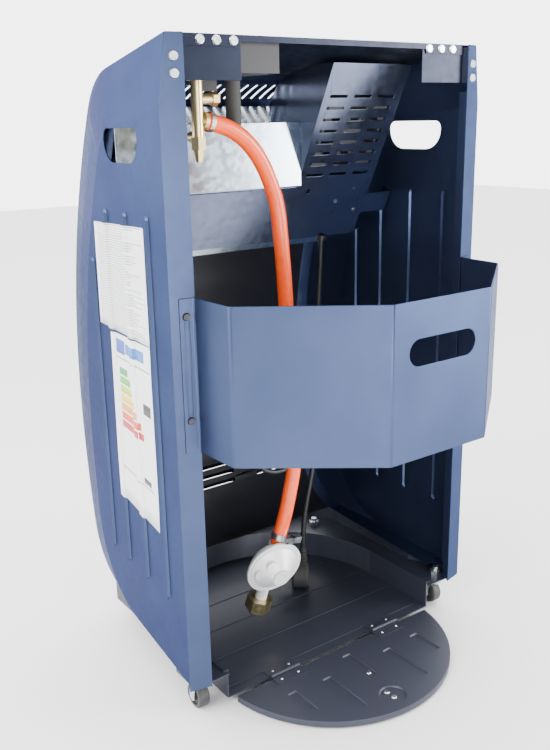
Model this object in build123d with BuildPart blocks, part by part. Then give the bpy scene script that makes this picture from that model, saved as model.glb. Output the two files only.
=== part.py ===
from build123d import *
import os
from math import atan, atan2, cos, degrees, pi, radians, sin, sqrt, tan

# Portable gas cabinet heater: a wheeled sheet-steel cabinet, open at the back for the gas bottle.

os.makedirs("parts", exist_ok=True)

# ---------------------------------------------------------------- driving dimensions, in millimetres
# Heights count from the post feet and depths from the rear bend of the posts, so a point of the
# cabinet is (x, depth, height). The front of the heater faces -Y and its open back faces +Y.
cabinet_height = 680.5
cabinet_depth = 301.0
cabinet_half_width = 212.0
sheet = 1.2                   # cabinet sheet thickness
fit = 0.3                     # gap left between neighbouring panels
seat = 0.05                   # gap between pieces that are screwed face to face
side_taper = 0.06             # each side plane comes in by this share of the depth
roof_fall = 0.164             # drop of the roof for each millimetre forward
brow_depth = 177.0            # where the roof line meets the front curve
brow_radius = 85.0
bulge_height = 260.0          # height of the foremost point
toe_depth = 272.0
toe_height = 33.0
toe_radius = 75.0
rear_hem_height = 8.0         # height of the side panel's bottom edge at the back
facet_inset = 9.0             # how far the edge facet leans in
facet_drop = 62.5             # its width at the back of the roof
facet_width = 56.0            # its width at the foremost point
facet_brow_depth = 142.0
facet_brow_radius = 60.0
facet_bulge_height = 232.0
facet_toe_depth = 228.0
facet_toe_radius = 110.0
wrap = 28.0                   # how far the side panels wrap round the edges

rib_height = 2.5
rib_width = 13.0
rib_foot = 95.0
rib_depths = (44.0, 98.0, 150.0, 197.0)
rib_tops = (516.0, 516.0, 516.0, 458.0)
handle_start = 54.0
handle_length = 85.0
handle_top = 598.0
handle_drop = 34.0
handle_corner = 9.0

post_width = 25.0
post_set_back = 5.7
post_lip = 12.0
post_notch_height = 628.0
rail_end_depth = 10.9
rail_mid_depth = 6.0
rail_end_margin = 87.0
rail_end_start = cabinet_half_width - rail_end_margin
rail_rivet_margins = (83.0, 64.0, 46.0)
post_rivet_heights = (645.0, 660.0)

band_reach = 158.0
band_bottom = 279.0
band_height = 160.0
band_sheet = 1.5
band_bend_radius = 4.0
band_wing_depth = 64.0
band_wing_x = 185.0
band_face_x = 66.0
band_tab = 16.0
band_slot_length = 91.0
band_slot_width = 27.0
band_slot_height = 388.0
band_screw_heights = (314.0, 421.0)

roof_seam_depth = 150.0
front_seam_height = 440.0
toe_seam_depth = 226.0

base_sheet = 1.5
base_half_width = 206.0
base_waist_half_width = 188.0
base_front_depth = 285.0
pan_half_width = 160.0
pan_front_centre = 118.0
pan_floor_drop = 33.0
pan_rear_depth = 6.0
pan_rim = 5.0                 # flange of the pan's wall that lies on the base plate
pan_rib_depths = (34.0, 89.0, 144.0, 199.0)
pan_rib_width = 28.0
pan_rib_rise = 1.0

plate_radius = 152.0
plate_centre_depth = 20.5
plate_rim = 7.5
plate_rib_width = 13.0
plate_dish_radius = 16.0      # dish over the plate's foot
hinge_offset = 80.0
hinge_width = 42.0
hinge_leaf = 16.0
hinge_pin_radius = 1.5
hinge_axis_depth = 3.5
running_gap = 0.05

caster_height = 43.0
caster_wheel_radius = 15.0
caster_wheel_width = 14.0
caster_trail = 9.0
caster_stem_radius = 4.0
caster_axle_radius = 2.5
rear_caster_x = 187.0
rear_caster_depth = 17.0
front_caster_x = 150.0
front_caster_depth = 238.0
nut_across = 13.0

valve_x = 150.0
valve_depth = 36.0
valve_radius = 6.0
valve_hex_across = 14.0
valve_foot_height = 576.0
outlet_height = 604.8
outlet_fall = 11.0            # degrees that the hose outlet points down
outlet_reach = 9.5
spindle_radius = 3.0
spindle_push = 5.0
knob_radius = 16.0
knob_height = 20.0
igniter_x = 92.0
igniter_depth = 60.0
igniter_radius = 8.0
button_radius = 5.5
button_travel = 6.0
switch_x = 120.0
switch_depth = 66.0
switch_length = 21.0
switch_width = 15.0
switch_tilt = 9.0

tray_floor_height = 647.0
tray_left = 68.0
tray_right = 170.0
tray_back = 10.0
tray_front = 92.0
tray_flange = 5.0

guard_foot_depth = 158.0
guard_foot_height = 457.0
guard_head_depth = 54.0
guard_head_drop = 18.5
guard_head_height = cabinet_height - guard_head_drop
guard_length = sqrt((guard_foot_depth - guard_head_depth) ** 2 + (guard_head_height - guard_foot_height) ** 2)
guard_strip_height = 75.5
guard_outer_x = -157.0
guard_inner_x = -38.0
guard_slot_length = 26.0
guard_slot_width = 3.6
guard_slot_rows = 8
guard_slot_first = 90.4
guard_top_margin = 39.3
guard_slot_last = guard_length - guard_top_margin
guard_slot_pitch = (guard_slot_last - guard_slot_first) / (guard_slot_rows - 1)
guard_slot_columns = (-132.5, -96.3, -60.1)
guard_holes = ((-57.8, 68.4), (-131.3, 67.7))
guard_hole_radius = 3.0
guard_spare_holes = ((-108.1, 35.4), (-144.4, 50.0))
guard_spare_radius = 1.6
duct_edge = (                 # edge of the duct's wall: depth, and drop below the line of the roof
    (81.4, 4.8), (120.3, 3.6), (145.0, 5.6), (162.3, 13.7), (173.6, 26.0), (180.6, 37.0),
)
duct_flange = 5.0             # how far the wall reaches under the shield's hood

shield_depth = 115.0
shield_bottom = 527.0
shield_fold = 600.0
shield_hood_depth = 178.0
shield_hood_height = 619.0
shield_sheet = 0.8

fan_x = guard_slot_columns[1]
fan_rise = (guard_slot_first + guard_slot_last) / 2
fan_size = 90.0
fan_thickness = 25.0
fan_bore_radius = 42.0
fan_blade_radius = 40.0
fan_hub_radius = 17.0
fan_shaft_radius = 2.0
fan_blades = 7

burner_depth = 237.6
burner_height = 535.0
burner_tilt = 23.2
window_margin = 60.0
window_width = 2 * (cabinet_half_width - window_margin)
window_height = 150.0
window_corner = 12.0
burner_recess = 30.0
housing_margin = 4.0
housing_width = window_width - 2 * housing_margin
housing_height = 144.0
housing_thickness = 36.0
plaque_gap = 5.0
plaque_height = 134.0
plaque_thickness = 12.0
plaque_pitch = (housing_width - plaque_gap) / 3
plaque_width = plaque_pitch - plaque_gap
grille_rod = 1.8
grille_rows = 9
grille_pitch = 16.0
manifold_radius = 6.0
manifold_gap = 28.0           # manifold axis behind the housing's back
manifold_drop = 37.0
pipe_radius = 4.0

slit_pitch = 13.0
slit_count = 21
slit_length = 26.0
slit_width = 3.4
slit_lean = 118.0
slit_depth = 187.0
slit_height = 640.0
louvre_heights = (92.0, 105.5, 119.0)
louvre_margin = 39.5
louvre_gap = 38.0
louvre_pitch = (cabinet_half_width - louvre_margin) / 1.5
louvre_length = louvre_pitch - louvre_gap
louvre_width = 6.0

pipe_x = 168.0
pipe_cross_height = 568.0
hose_radius = 8.5
hose_end_x = 51.2
hose_end_depth = 55.0
hose_end_height = 108.9
regulator_side_lean = 6.8     # degrees that the hanging regulator's gas line leans to the right
regulator_front_lean = 16.6   # degrees that it leans to the front
regulator_face = 8.1          # degrees that its diaphragm housing faces to the right of the back
regulator_radius = 36.0
regulator_offset = 2.7        # how far the diaphragm housing sits beside the gas line
regulator_reach = 28.5        # from the hose end to the housing's centre
nut_start = 86.0
nut_length = 18.0
coupling_across = 29.0
coupling_bore_radius = 9.5
plug_x = -60.0
plug_depth = 148.0
plug_radius = 19.0
plug_thickness = 24.0
plug_heading = 36.1           # degrees that the pins point to the front, from the heater's right
relief_set_back = 7.0         # from the plug's back to the middle of its strain relief
pin_length = 19.0
pin_radius = 2.4
pin_pitch = 19.0
relief_length = 22.0
lead_radius = 3.5
lead_loop_x = -25.0
lead_loop_height = 205.0
lead_loop_radius = 56.2       # circle through the corners of the slack loop
lead_loop_front = 150.0
lead_loop_back = 140.0
tie_height = 205.0

# ---------------------------------------------------------------- frame of the part
foot_z = caster_height
rear_y = (cabinet_depth - band_reach) / 2
taper_angle = degrees(atan(side_taper))
roof_angle = degrees(atan(roof_fall))


def across(x):
    """Plane square to X at x: local u is the depth axis (negative to the front), local v the height."""
    return Plane(origin=(x, rear_y, foot_z), x_dir=(0, 1, 0), z_dir=(1, 0, 0))


def upright(depth):
    """Vertical plane at a depth, facing the front: local u is X, local v the height."""
    return Plane(origin=(0, rear_y - depth, foot_z), x_dir=(1, 0, 0), z_dir=(0, -1, 0))


def level(height):
    """Horizontal plane at a height: local u is X, local v the depth axis (negative to the front)."""
    return Plane(origin=(0, rear_y, foot_z + height))


def side_plane(inset, side=1):
    """The tapered side of the cabinet, moved inwards by inset, facing out; side is 1 or -1."""
    turn = radians(taper_angle)
    return Plane(
        origin=(side * (cabinet_half_width - inset), rear_y, foot_z),
        x_dir=(side * sin(turn), cos(turn), 0),
        z_dir=(side * cos(turn), -sin(turn), 0),
    )


def roof_plane(lift):
    """The sloping roof, raised by lift: local u is X, local v runs up the slope to the back."""
    turn = radians(roof_angle)
    return Plane(
        origin=(0, rear_y, foot_z + cabinet_height),
        x_dir=(1, 0, 0),
        z_dir=(0, -sin(turn), cos(turn)),
    ).offset(lift)


def burner_plane(lift):
    """Plane of the burner window, raised to the front by lift: local u is X, local v runs up the lean."""
    turn = radians(burner_tilt)
    window = Plane(
        origin=(0, rear_y - burner_depth, foot_z + burner_height),
        x_dir=(1, 0, 0),
        z_dir=(0, -cos(turn), sin(turn)),
    )
    return window.offset(lift)


def guard_plane(lift):
    """Rear face of the leaning guard, raised to the front by lift: local v runs up the lean."""
    lean = Vector(0, guard_foot_depth - guard_head_depth, guard_head_height - guard_foot_height).normalized()
    return Plane(
        origin=(0, rear_y - guard_foot_depth, foot_z + guard_foot_height),
        x_dir=(1, 0, 0),
        z_dir=Vector(1, 0, 0).cross(lean),
    ).offset(lift)


def place(x, depth, height):
    """A point of the cabinet in the part's frame."""
    return Vector(x, rear_y - depth, foot_z + height)


# ---------------------------------------------------------------- the cabinet's skin
hem_slope = (toe_height - rear_hem_height) / toe_depth


def hem_height(depth):
    """Height of the sloping bottom edge at a depth."""
    return rear_hem_height + hem_slope * depth


skin_edge = {
    "top": cabinet_height,
    "brow": brow_depth,
    "brow_radius": brow_radius,
    "front": cabinet_depth,
    "bulge": bulge_height,
    "toe": toe_depth,
    "toe_radius": toe_radius,
}
crease_edge = {
    "top": cabinet_height - facet_drop,
    "brow": facet_brow_depth,
    "brow_radius": facet_brow_radius,
    "front": cabinet_depth - facet_width,
    "bulge": facet_bulge_height,
    "toe": facet_toe_depth,
    "toe_radius": facet_toe_radius,
}


def profile(plane, edge, inset, run_out, stretch):
    """Side outline of the cabinet on a plane, moved inwards by inset and run out past the open back.

    On a tapered plane the depths are stretched, so that outlines on all planes line up along X.
    """
    brow = (-edge["brow"] * stretch, edge["top"] - roof_fall * edge["brow"])
    front = (-edge["front"] * stretch, edge["bulge"])
    toe = (-edge["toe"] * stretch, hem_height(edge["toe"]))
    rear_top = (run_out * stretch, edge["top"] + roof_fall * run_out)
    rear_hem = (run_out * stretch, hem_height(-run_out))
    with BuildSketch(plane) as outline:
        with BuildLine():
            Polyline(brow, rear_top, rear_hem, toe)
            TangentArc(front, toe, tangent=(0, -1))
            TangentArc(front, brow, tangent=(0, 1))
        make_face()
        fillet(outline.vertices().sort_by_distance(brow)[0], edge["brow_radius"])
        fillet(outline.vertices().sort_by_distance(toe)[0], edge["toe_radius"])
        if inset > 0:
            offset(amount=-inset, kind=Kind.INTERSECTION)
    return outline.sketch


def cabinet_solid(inset, run_out):
    """Closed solid under the cabinet's skin, moved inwards by inset, with facets along its edges."""
    stretch = 1 / cos(radians(taper_angle))
    middle = profile(across(0), skin_edge, inset, run_out, 1)
    edge_of_side = profile(side_plane(inset), crease_edge, inset, run_out, stretch)
    with BuildPart() as solid:
        extrude(middle, amount=cabinet_half_width)
        split(bisect_by=side_plane(facet_inset + inset), keep=Keep.BOTTOM)
        outwards = Axis(side_plane(0).origin, side_plane(0).z_dir)
        loft(sections=[solid.faces().sort_by(outwards)[-1], edge_of_side], ruled=True)
        mirror(about=Plane.YZ)
    return solid.part


cabinet_outside = cabinet_solid(0, 0)
cabinet_inside = cabinet_solid(sheet, 20)
with BuildPart() as skin:
    add(cabinet_outside)
    add(cabinet_inside, mode=Mode.SUBTRACT)

with BuildPart() as middle_skin:
    add(skin.part)
    for side in (1, -1):
        split(bisect_by=side_plane(wrap + fit, side), keep=Keep.BOTTOM)


def finish(builder, name):
    """Names a finished piece and writes it."""
    builder.part.label = name
    export_step(builder.part, f"parts/{name}.step")


def post_plane(x, height, side=1):
    """A plane on the outer face of a post's flange, facing backwards."""
    run = (cabinet_half_width - x) / post_width
    normal = Vector(side * post_set_back, post_width, 0).normalized()
    return Plane(
        origin=(side * x, rear_y + post_set_back * run, foot_z + height),
        x_dir=(0, 0, 1),
        z_dir=normal,
    )


# ---------------------------------------------------------------- side panels
post_inner_x = cabinet_half_width - post_width
post_screw_x = cabinet_half_width - post_width * 0.62
screw_radius = 2.0
screw_clearance = 0.15

with BuildPart() as side_panel_right:
    add(skin.part)
    split(bisect_by=side_plane(wrap), keep=Keep.TOP)
    with BuildSketch(level(0)):
        with BuildLine():
            Polyline((cabinet_half_width, 0), (post_inner_x, post_set_back))
            offset(amount=sheet, side=Side.LEFT)
        make_face()
    extrude(amount=cabinet_height)
    with BuildSketch(level(base_sheet + fit)):
        with BuildLine():
            Polyline(
                (cabinet_half_width - sheet, 0),
                (post_inner_x, post_set_back),
                (post_inner_x, post_set_back - post_lip),
            )
            offset(amount=sheet, side=Side.LEFT)
        make_face()
    extrude(amount=post_notch_height)
    with BuildSketch(level(0)):
        with Locations((rear_caster_x, -rear_caster_depth)):
            Circle(nut_across)
    extrude(amount=2 * nut_across, mode=Mode.SUBTRACT)
    lean_in = (cabinet_half_width - facet_inset, cabinet_height)
    with BuildSketch(upright(-2 * post_set_back)):
        Polygon(
            (cabinet_half_width, cabinet_height - facet_drop),
            (cabinet_half_width + 2 * facet_inset, cabinet_height - facet_drop),
            (cabinet_half_width + 2 * facet_inset, 2 * cabinet_height),
            (lean_in[0] - facet_inset * cabinet_height / facet_drop, 2 * cabinet_height),
            align=None,
        )
    extrude(amount=4 * post_set_back, mode=Mode.SUBTRACT)
    for depth, top in zip(rib_depths, rib_tops):
        middle_height = (rib_foot + top) / 2
        with BuildSketch(side_plane(0)):
            with Locations((-depth, middle_height)):
                SlotOverall(top - rib_foot, rib_width, rotation=90)
        extrude(amount=rib_height, taper=35)
        with BuildSketch(side_plane(sheet)):
            with Locations((-depth, middle_height)):
                SlotOverall(top - rib_foot - 2 * sheet, rib_width - 2 * sheet, rotation=90)
        extrude(amount=rib_height, taper=35, mode=Mode.SUBTRACT)
    with BuildSketch(side_plane(-2 * sheet)) as handle_hole:
        handle_middle = handle_start + handle_length / 2
        with Locations((-handle_middle, handle_top - handle_drop / 2)):
            Rectangle(handle_length, handle_drop)
        corners = handle_hole.vertices().group_by(Axis.Y)
        fillet(corners[0], handle_drop * 0.7)
        fillet(handle_hole.vertices().group_by(Axis.Y)[-1], handle_corner)
    extrude(amount=-6 * sheet, mode=Mode.SUBTRACT)
    for height in band_screw_heights:
        with BuildSketch(post_plane(post_screw_x, height)):
            Circle(screw_radius + screw_clearance)
        extrude(amount=4 * sheet, both=True, mode=Mode.SUBTRACT)
finish(side_panel_right, "side_panel_right")

with BuildPart() as side_panel_left:
    mirror(side_panel_right.part, about=Plane.YZ)
finish(side_panel_left, "side_panel_left")
print("side panel", side_panel_right.part.is_valid, len(side_panel_right.part.solids()))

# ---------------------------------------------------------------- retaining band
def flange_face(x):
    """How far a post's flange stands behind the rear plane at x."""
    return post_set_back * (cabinet_half_width - x) / post_width


band_bend_x = post_inner_x + fit
band_half = [
    (band_bend_x + band_tab, flange_face(band_bend_x + band_tab) + seat),
    (band_bend_x, flange_face(band_bend_x) + seat),
    (band_wing_x, band_wing_depth),
    (band_face_x, band_reach - band_sheet),
]
with BuildPart() as retaining_band:
    with BuildSketch(level(band_bottom)):
        with BuildLine():
            FilletPolyline(*band_half, *[(-x, y) for x, y in reversed(band_half)], radius=band_bend_radius)
            offset(amount=band_sheet, side=Side.RIGHT)
        make_face()
    extrude(amount=band_height)
    with BuildSketch(upright(-band_reach - band_sheet)):
        with Locations((0, band_slot_height)):
            SlotOverall(band_slot_length, band_slot_width)
    extrude(amount=3 * band_sheet, mode=Mode.SUBTRACT)
    for height in band_screw_heights:
        for side in (1, -1):
            with BuildSketch(post_plane(post_screw_x, height, side)):
                Circle(screw_radius + screw_clearance)
            extrude(amount=3 * band_sheet, both=True, mode=Mode.SUBTRACT)
finish(retaining_band, "retaining_band")
print("band", retaining_band.part.is_valid, len(retaining_band.part.solids()))

# ---------------------------------------------------------------- roof, front shell and lower front panel
rail_top = cabinet_height
rail_x = cabinet_half_width - wrap - fit
with BuildPart() as top_cover:
    add(middle_skin.part)
    split(bisect_by=upright(roof_seam_depth), keep=Keep.BOTTOM)
    split(bisect_by=level(cabinet_height / 2), keep=Keep.TOP)
    with BuildSketch(upright(0)):
        Polygon(
            (-rail_x, rail_top), (rail_x, rail_top),
            (rail_x, rail_top - rail_end_depth), (rail_end_start, rail_top - rail_end_depth),
            (rail_end_start, rail_top - rail_mid_depth), (-rail_end_start, rail_top - rail_mid_depth),
            (-rail_end_start, rail_top - rail_end_depth), (-rail_x, rail_top - rail_end_depth),
            align=None,
        )
    extrude(amount=sheet)
    with BuildSketch(level(tray_floor_height)):
        with Locations(((tray_left + tray_right) / 2, -(tray_back + tray_front) / 2)):
            Rectangle(tray_right - tray_left, tray_front - tray_back)
    extrude(amount=2 * rail_end_depth + cabinet_height - tray_floor_height, mode=Mode.SUBTRACT)
    with BuildSketch(upright(0)):
        for margin in rail_rivet_margins:
            x = cabinet_half_width - margin
            with Locations((x, rail_top - rail_end_depth / 2), (-x, rail_top - rail_end_depth / 2)):
                Circle(screw_radius + screw_clearance)
    extrude(amount=2 * sheet, mode=Mode.SUBTRACT)
finish(top_cover, "top_cover")
print("top", top_cover.part.is_valid, len(top_cover.part.solids()))

slit_plane = Plane(origin=place(0, slit_depth, slit_height), x_dir=(1, 0, 0), z_dir=(0, -1, 1))
with BuildPart() as front_shell:
    add(middle_skin.part)
    split(bisect_by=upright(roof_seam_depth + fit), keep=Keep.TOP)
    split(bisect_by=level(front_seam_height), keep=Keep.TOP)
    with BuildSketch(burner_plane(0)):
        RectangleRounded(window_width, window_height, window_corner)
    extrude(amount=burner_recess, both=True, mode=Mode.SUBTRACT)
    with BuildSketch(slit_plane):
        for i in range(slit_count):
            with Locations(((i - (slit_count - 1) / 2) * slit_pitch, 0)):
                SlotOverall(slit_length, slit_width, rotation=slit_lean)
    extrude(amount=slit_length, both=True, mode=Mode.SUBTRACT)
finish(front_shell, "front_shell")
print("front", front_shell.part.is_valid, len(front_shell.part.solids()))

with BuildPart() as lower_front_panel:
    add(middle_skin.part)
    split(bisect_by=level(front_seam_height - fit), keep=Keep.BOTTOM)
    split(bisect_by=upright(toe_seam_depth), keep=Keep.TOP)
    with BuildSketch(upright(cabinet_depth)):
        for height in louvre_heights:
            for column in (-1, 0, 1):
                with Locations((column * louvre_pitch, height)):
                    SlotOverall(louvre_length, louvre_width)
    extrude(amount=-facet_width, mode=Mode.SUBTRACT)
finish(lower_front_panel, "lower_front_panel")
print("lower", lower_front_panel.part.is_valid, len(lower_front_panel.part.solids()))

# ---------------------------------------------------------------- base with the bottle pan
caster_places = {
    "rear_right": (rear_caster_x, rear_caster_depth),
    "rear_left": (-rear_caster_x, rear_caster_depth),
    "front_right": (front_caster_x, front_caster_depth),
    "front_left": (-front_caster_x, front_caster_depth),
}
waist_depth = 70.0
waist_start_depth = 42.0
skirt_height = hem_height(base_front_depth) - sheet
hem_cut_depth = base_front_depth - facet_width
base_corner_x = base_waist_half_width - facet_width / 2
pan_floor_height = -pan_floor_drop
pan_rim_height = base_sheet + seat


def pan_outline(shrink, rear_depth, height):
    """Plan of the pan: straight sides and a half-round front, cut off square at the rear depth."""
    radius = pan_half_width - shrink
    with BuildSketch(level(height)) as plan:
        with Locations((0, -pan_front_centre)):
            Circle(radius)
        with Locations((0, -(pan_front_centre + rear_depth) / 2)):
            Rectangle(2 * radius, pan_front_centre - rear_depth)
        with Locations((0, radius - rear_depth)):
            Rectangle(4 * radius, 2 * radius, mode=Mode.SUBTRACT)
    return plan.sketch


base_side = [
    (base_half_width, 0), (base_half_width, -waist_start_depth), (base_waist_half_width, -waist_depth),
    (base_waist_half_width, -hem_cut_depth), (base_corner_x, -base_front_depth),
]
base_outline = base_side + [(-x, y) for x, y in reversed(base_side)]
skirt_start = 2 * base_sheet
skirt_line = [(base_half_width, -skirt_start), *base_outline[1:-1], (-base_half_width, -skirt_start)]
pan_opening = pan_outline(-fit, -base_sheet, 0)
with BuildPart() as base_plate:
    with BuildSketch(level(0)):
        Polygon(*base_outline, align=None)
    extrude(amount=base_sheet)
    with BuildSketch(level(0)):
        with BuildLine():
            Polyline(*skirt_line)
            offset(amount=base_sheet, side=Side.RIGHT)
        make_face()
    extrude(amount=skirt_height)
    with BuildSketch(across(-base_half_width)):
        Polygon(
            (0, hem_height(0) - fit), (-base_front_depth - base_sheet, hem_height(base_front_depth) - fit),
            (-base_front_depth - base_sheet, 2 * skirt_height), (0, 2 * skirt_height),
            align=None,
        )
    extrude(amount=2 * base_half_width, mode=Mode.SUBTRACT)
    extrude(pan_opening, amount=base_sheet, mode=Mode.SUBTRACT)
    with BuildSketch(level(0)):
        with Locations(*[(x, -depth) for x, depth in caster_places.values()]):
            Circle(caster_stem_radius + screw_clearance)
    extrude(amount=base_sheet, mode=Mode.SUBTRACT)
finish(base_plate, "base_plate")
print("base", base_plate.part.is_valid, len(base_plate.part.solids()), base_plate.part.bounding_box())

pan_wall = pan_outline(0, pan_rear_depth, pan_floor_height - base_sheet)
pan_flange = pan_outline(-pan_rim, pan_rear_depth, pan_rim_height)
pan_room = pan_outline(base_sheet, -base_sheet, pan_floor_height)
with BuildPart() as bottle_pan:
    extrude(pan_wall, amount=pan_rim_height + base_sheet + base_sheet - pan_floor_height)
    extrude(pan_flange, amount=base_sheet)
    extrude(pan_room, amount=2 * pan_floor_drop, mode=Mode.SUBTRACT)
    for depth in pan_rib_depths:
        reach = pan_half_width - 3 * base_sheet
        ahead = max(depth + pan_rib_width / 2 - pan_front_centre, 0)
        rib_length = 2 * sqrt(reach**2 - ahead**2)
        with BuildSketch(level(pan_floor_height - base_sheet)):
            with Locations((0, -depth)):
                RectangleRounded(rib_length, pan_rib_width, pan_rib_rise)
        extrude(amount=base_sheet + pan_rib_rise)
        with BuildSketch(level(pan_floor_height - base_sheet)):
            with Locations((0, -depth)):
                RectangleRounded(rib_length - 2 * base_sheet, pan_rib_width - 2 * base_sheet, pan_rib_rise)
        extrude(amount=pan_rib_rise, mode=Mode.SUBTRACT)
finish(bottle_pan, "bottle_pan")
print("pan", bottle_pan.part.is_valid, len(bottle_pan.part.solids()), bottle_pan.part.bounding_box())

# ---------------------------------------------------------------- fold-down plate and its hinges
# The pins lie along X on top of the pan's rear edge; the plate swings up about them.
leaf_sheet = 1.0
knuckle_radius = hinge_pin_radius + running_gap + leaf_sheet
plate_top = pan_floor_height
plate_front_depth = hinge_axis_depth - knuckle_radius - fit
leaf_height = plate_top + seat
knuckle_count = 5
knuckle_length = hinge_width / knuckle_count
pin_height = leaf_height + knuckle_radius
press_depth = 1.6


def plate_disc(radius, height):
    """The plate's half-round outline at a height, cut straight along the hinge line."""
    with BuildSketch(level(height)) as disc:
        with Locations((0, -plate_centre_depth)):
            Circle(radius)
        with Locations((0, -plate_front_depth - 2 * radius)):
            Rectangle(4 * radius, 4 * radius, mode=Mode.SUBTRACT)
    return disc.sketch


plate_channels = (
    (0, 14, 66), (48, 35, 102), (-48, 35, 102), (97, 32, 74), (-97, 32, 74),
)
channel_corner = 2.0
foot_x = 6.5
foot_y = 105.5
plate_skin = plate_disc(plate_radius, plate_top)
plate_hollow = plate_disc(plate_radius - base_sheet, plate_top - base_sheet)
top_down = Plane(origin=place(0, 0, plate_top), x_dir=(1, 0, 0), z_dir=(0, 0, -1))
with BuildPart() as fold_down_plate:
    extrude(plate_skin, amount=-plate_rim)
    extrude(plate_hollow, amount=-plate_rim, mode=Mode.SUBTRACT)
    for swell, mode in ((base_sheet / 2, Mode.ADD), (0, Mode.SUBTRACT)):
        lift = base_sheet if mode == Mode.ADD else 0
        with BuildSketch(top_down.offset(lift)):
            for x, near, far in plate_channels:
                with Locations((x, -(near + far) / 2)):
                    RectangleRounded(plate_rib_width + 2 * swell, far - near + 2 * swell, channel_corner)
            with Locations((foot_x, -foot_y)):
                Circle(plate_dish_radius + swell)
        extrude(amount=press_depth, taper=35, mode=mode)
finish(fold_down_plate, "fold_down_plate")
print("plate", fold_down_plate.part.is_valid, len(fold_down_plate.part.solids()), fold_down_plate.part.volume)

rivet_rise = 1.2


def rivet_heads(spots, height, radius):
    """Round rivet heads standing on a level face."""
    with BuildPart() as heads:
        with BuildSketch(level(height + seat)):
            with Locations(*spots):
                Circle(radius)
        extrude(amount=rivet_rise, taper=30)
    return heads.part


foot_top = plate_top - base_sheet - press_depth - seat
with BuildPart() as plate_foot:
    with BuildSketch(level(foot_top)):
        with Locations((foot_x, foot_y)):
            Circle(plate_dish_radius - 2 * base_sheet)
    extrude(amount=-caster_height - foot_top, taper=12)
finish(plate_foot, "plate_foot")

foot_rivet_radius = 3.4
foot_rivet_spots = [(foot_x + 1.5, foot_y - 9), (foot_x + 1, foot_y + 2.5)]
channel_rivet_y = 56.0
hinge_rivet_radius = 1.6
hinge_rivet_reach = 9.5       # from the hinge's pin to the rivets of its leaves
hinge_rivet_pitch = 24.0
hinge_rivets = [
    (side * hinge_offset + across_leaf, -hinge_axis_depth)
    for side in (1, -1) for across_leaf in (-hinge_rivet_pitch / 2, hinge_rivet_pitch / 2)
]
with BuildPart() as plate_rivets:
    add(rivet_heads(foot_rivet_spots, plate_top - press_depth, foot_rivet_radius))
    add(rivet_heads([(0, channel_rivet_y)], plate_top - press_depth, foot_rivet_radius))
    moving_spots = [(x, y + hinge_rivet_reach) for x, y in hinge_rivets]
    add(rivet_heads(moving_spots, leaf_height + leaf_sheet, hinge_rivet_radius))
finish(plate_rivets, "plate_rivets")


def hinge_leaf_piece(side, moving):
    """One hinge leaf with its knuckles: the moving leaf has the second and fourth."""
    way = 1 if moving else -1
    axis_depth = hinge_axis_depth
    start = side * hinge_offset - hinge_width / 2
    mine = [i for i in range(knuckle_count) if (i % 2 == 1) == moving]
    with BuildPart() as leaf:
        with BuildSketch(level(leaf_height)):
            with Locations((side * hinge_offset, -axis_depth + way * (hinge_leaf / 2 + knuckle_radius / 2))):
                Rectangle(hinge_width, hinge_leaf - knuckle_radius)
            for i in mine:
                with Locations((start + (i + 0.5) * knuckle_length, -axis_depth + way * knuckle_radius / 2)):
                    Rectangle(knuckle_length - fit, 2 * knuckle_radius)
        extrude(amount=leaf_sheet)
        for i in mine:
            with BuildSketch(across(start + i * knuckle_length + fit / 2)):
                with Locations((-axis_depth, pin_height)):
                    Circle(knuckle_radius)
            extrude(amount=knuckle_length - fit)
        with BuildSketch(across(start)):
            with Locations((-axis_depth, pin_height)):
                Circle(hinge_pin_radius + running_gap)
        extrude(amount=hinge_width, mode=Mode.SUBTRACT)
        for i in range(knuckle_count):
            if i not in mine:
                with BuildSketch(across(start + i * knuckle_length - fit / 2)):
                    with Locations((-axis_depth, pin_height)):
                        Circle(knuckle_radius + fit)
                extrude(amount=knuckle_length + fit, mode=Mode.SUBTRACT)
    return leaf.part


for moving, name in ((False, "hinge_fixed_leaves"), (True, "hinge_moving_leaves")):
    leaf_pair = [hinge_leaf_piece(side, moving) for side in (1, -1)]
    with BuildPart() as hinge_leaves:
        add(leaf_pair)
    finish(hinge_leaves, name)
    print(name, hinge_leaves.part.is_valid, len(hinge_leaves.part.solids()))

with BuildPart() as hinge_pins:
    for side in (1, -1):
        with BuildSketch(across(side * hinge_offset - hinge_width / 2)):
            with Locations((-hinge_axis_depth, pin_height)):
                Circle(hinge_pin_radius)
        extrude(amount=hinge_width)
finish(hinge_pins, "hinge_pins")

# ---------------------------------------------------------------- casters
cup_height = 8.0
cup_radius = 9.0
cup_waist = 7.0
cup_waist_start = 3.0
cup_waist_height = 2.0
pivot_radius = 3.5
fork_sheet = 1.6
fork_gap = 0.35
fork_inner = caster_wheel_width / 2 + 0.6
fork_half = fork_inner + fork_sheet
fork_top = -cup_height - fork_gap
pivot_head = 1.5
wheel_centre = caster_wheel_radius - caster_height
nut_height = 6.5
stem_rise = 13.0


def caster_stem(x, depth):
    """Cup, threaded stem and swivel pin of a caster, in one turned piece."""
    head_top = fork_top - fork_sheet - fork_gap
    with BuildPart() as stem:
        with BuildSketch(level(-cup_height)):
            with Locations((x, -depth)):
                Circle(cup_radius)
        extrude(amount=cup_height - seat)
        with BuildSketch(level(-cup_waist_start - cup_waist_height)):
            with Locations((x, -depth)):
                Circle(2 * cup_radius)
                Circle(cup_waist, mode=Mode.SUBTRACT)
        extrude(amount=cup_waist_height, mode=Mode.SUBTRACT)
        with BuildSketch(level(-cup_height)):
            with Locations((x, -depth)):
                Circle(caster_stem_radius)
        extrude(amount=cup_height + stem_rise)
        with BuildSketch(level(-cup_height)):
            with Locations((x, -depth)):
                Circle(pivot_radius)
        extrude(amount=head_top + cup_height)
        with BuildSketch(level(head_top)):
            with Locations((x, -depth)):
                Circle(pivot_radius + 1.5)
        extrude(amount=-pivot_head)
    return stem.part


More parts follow.
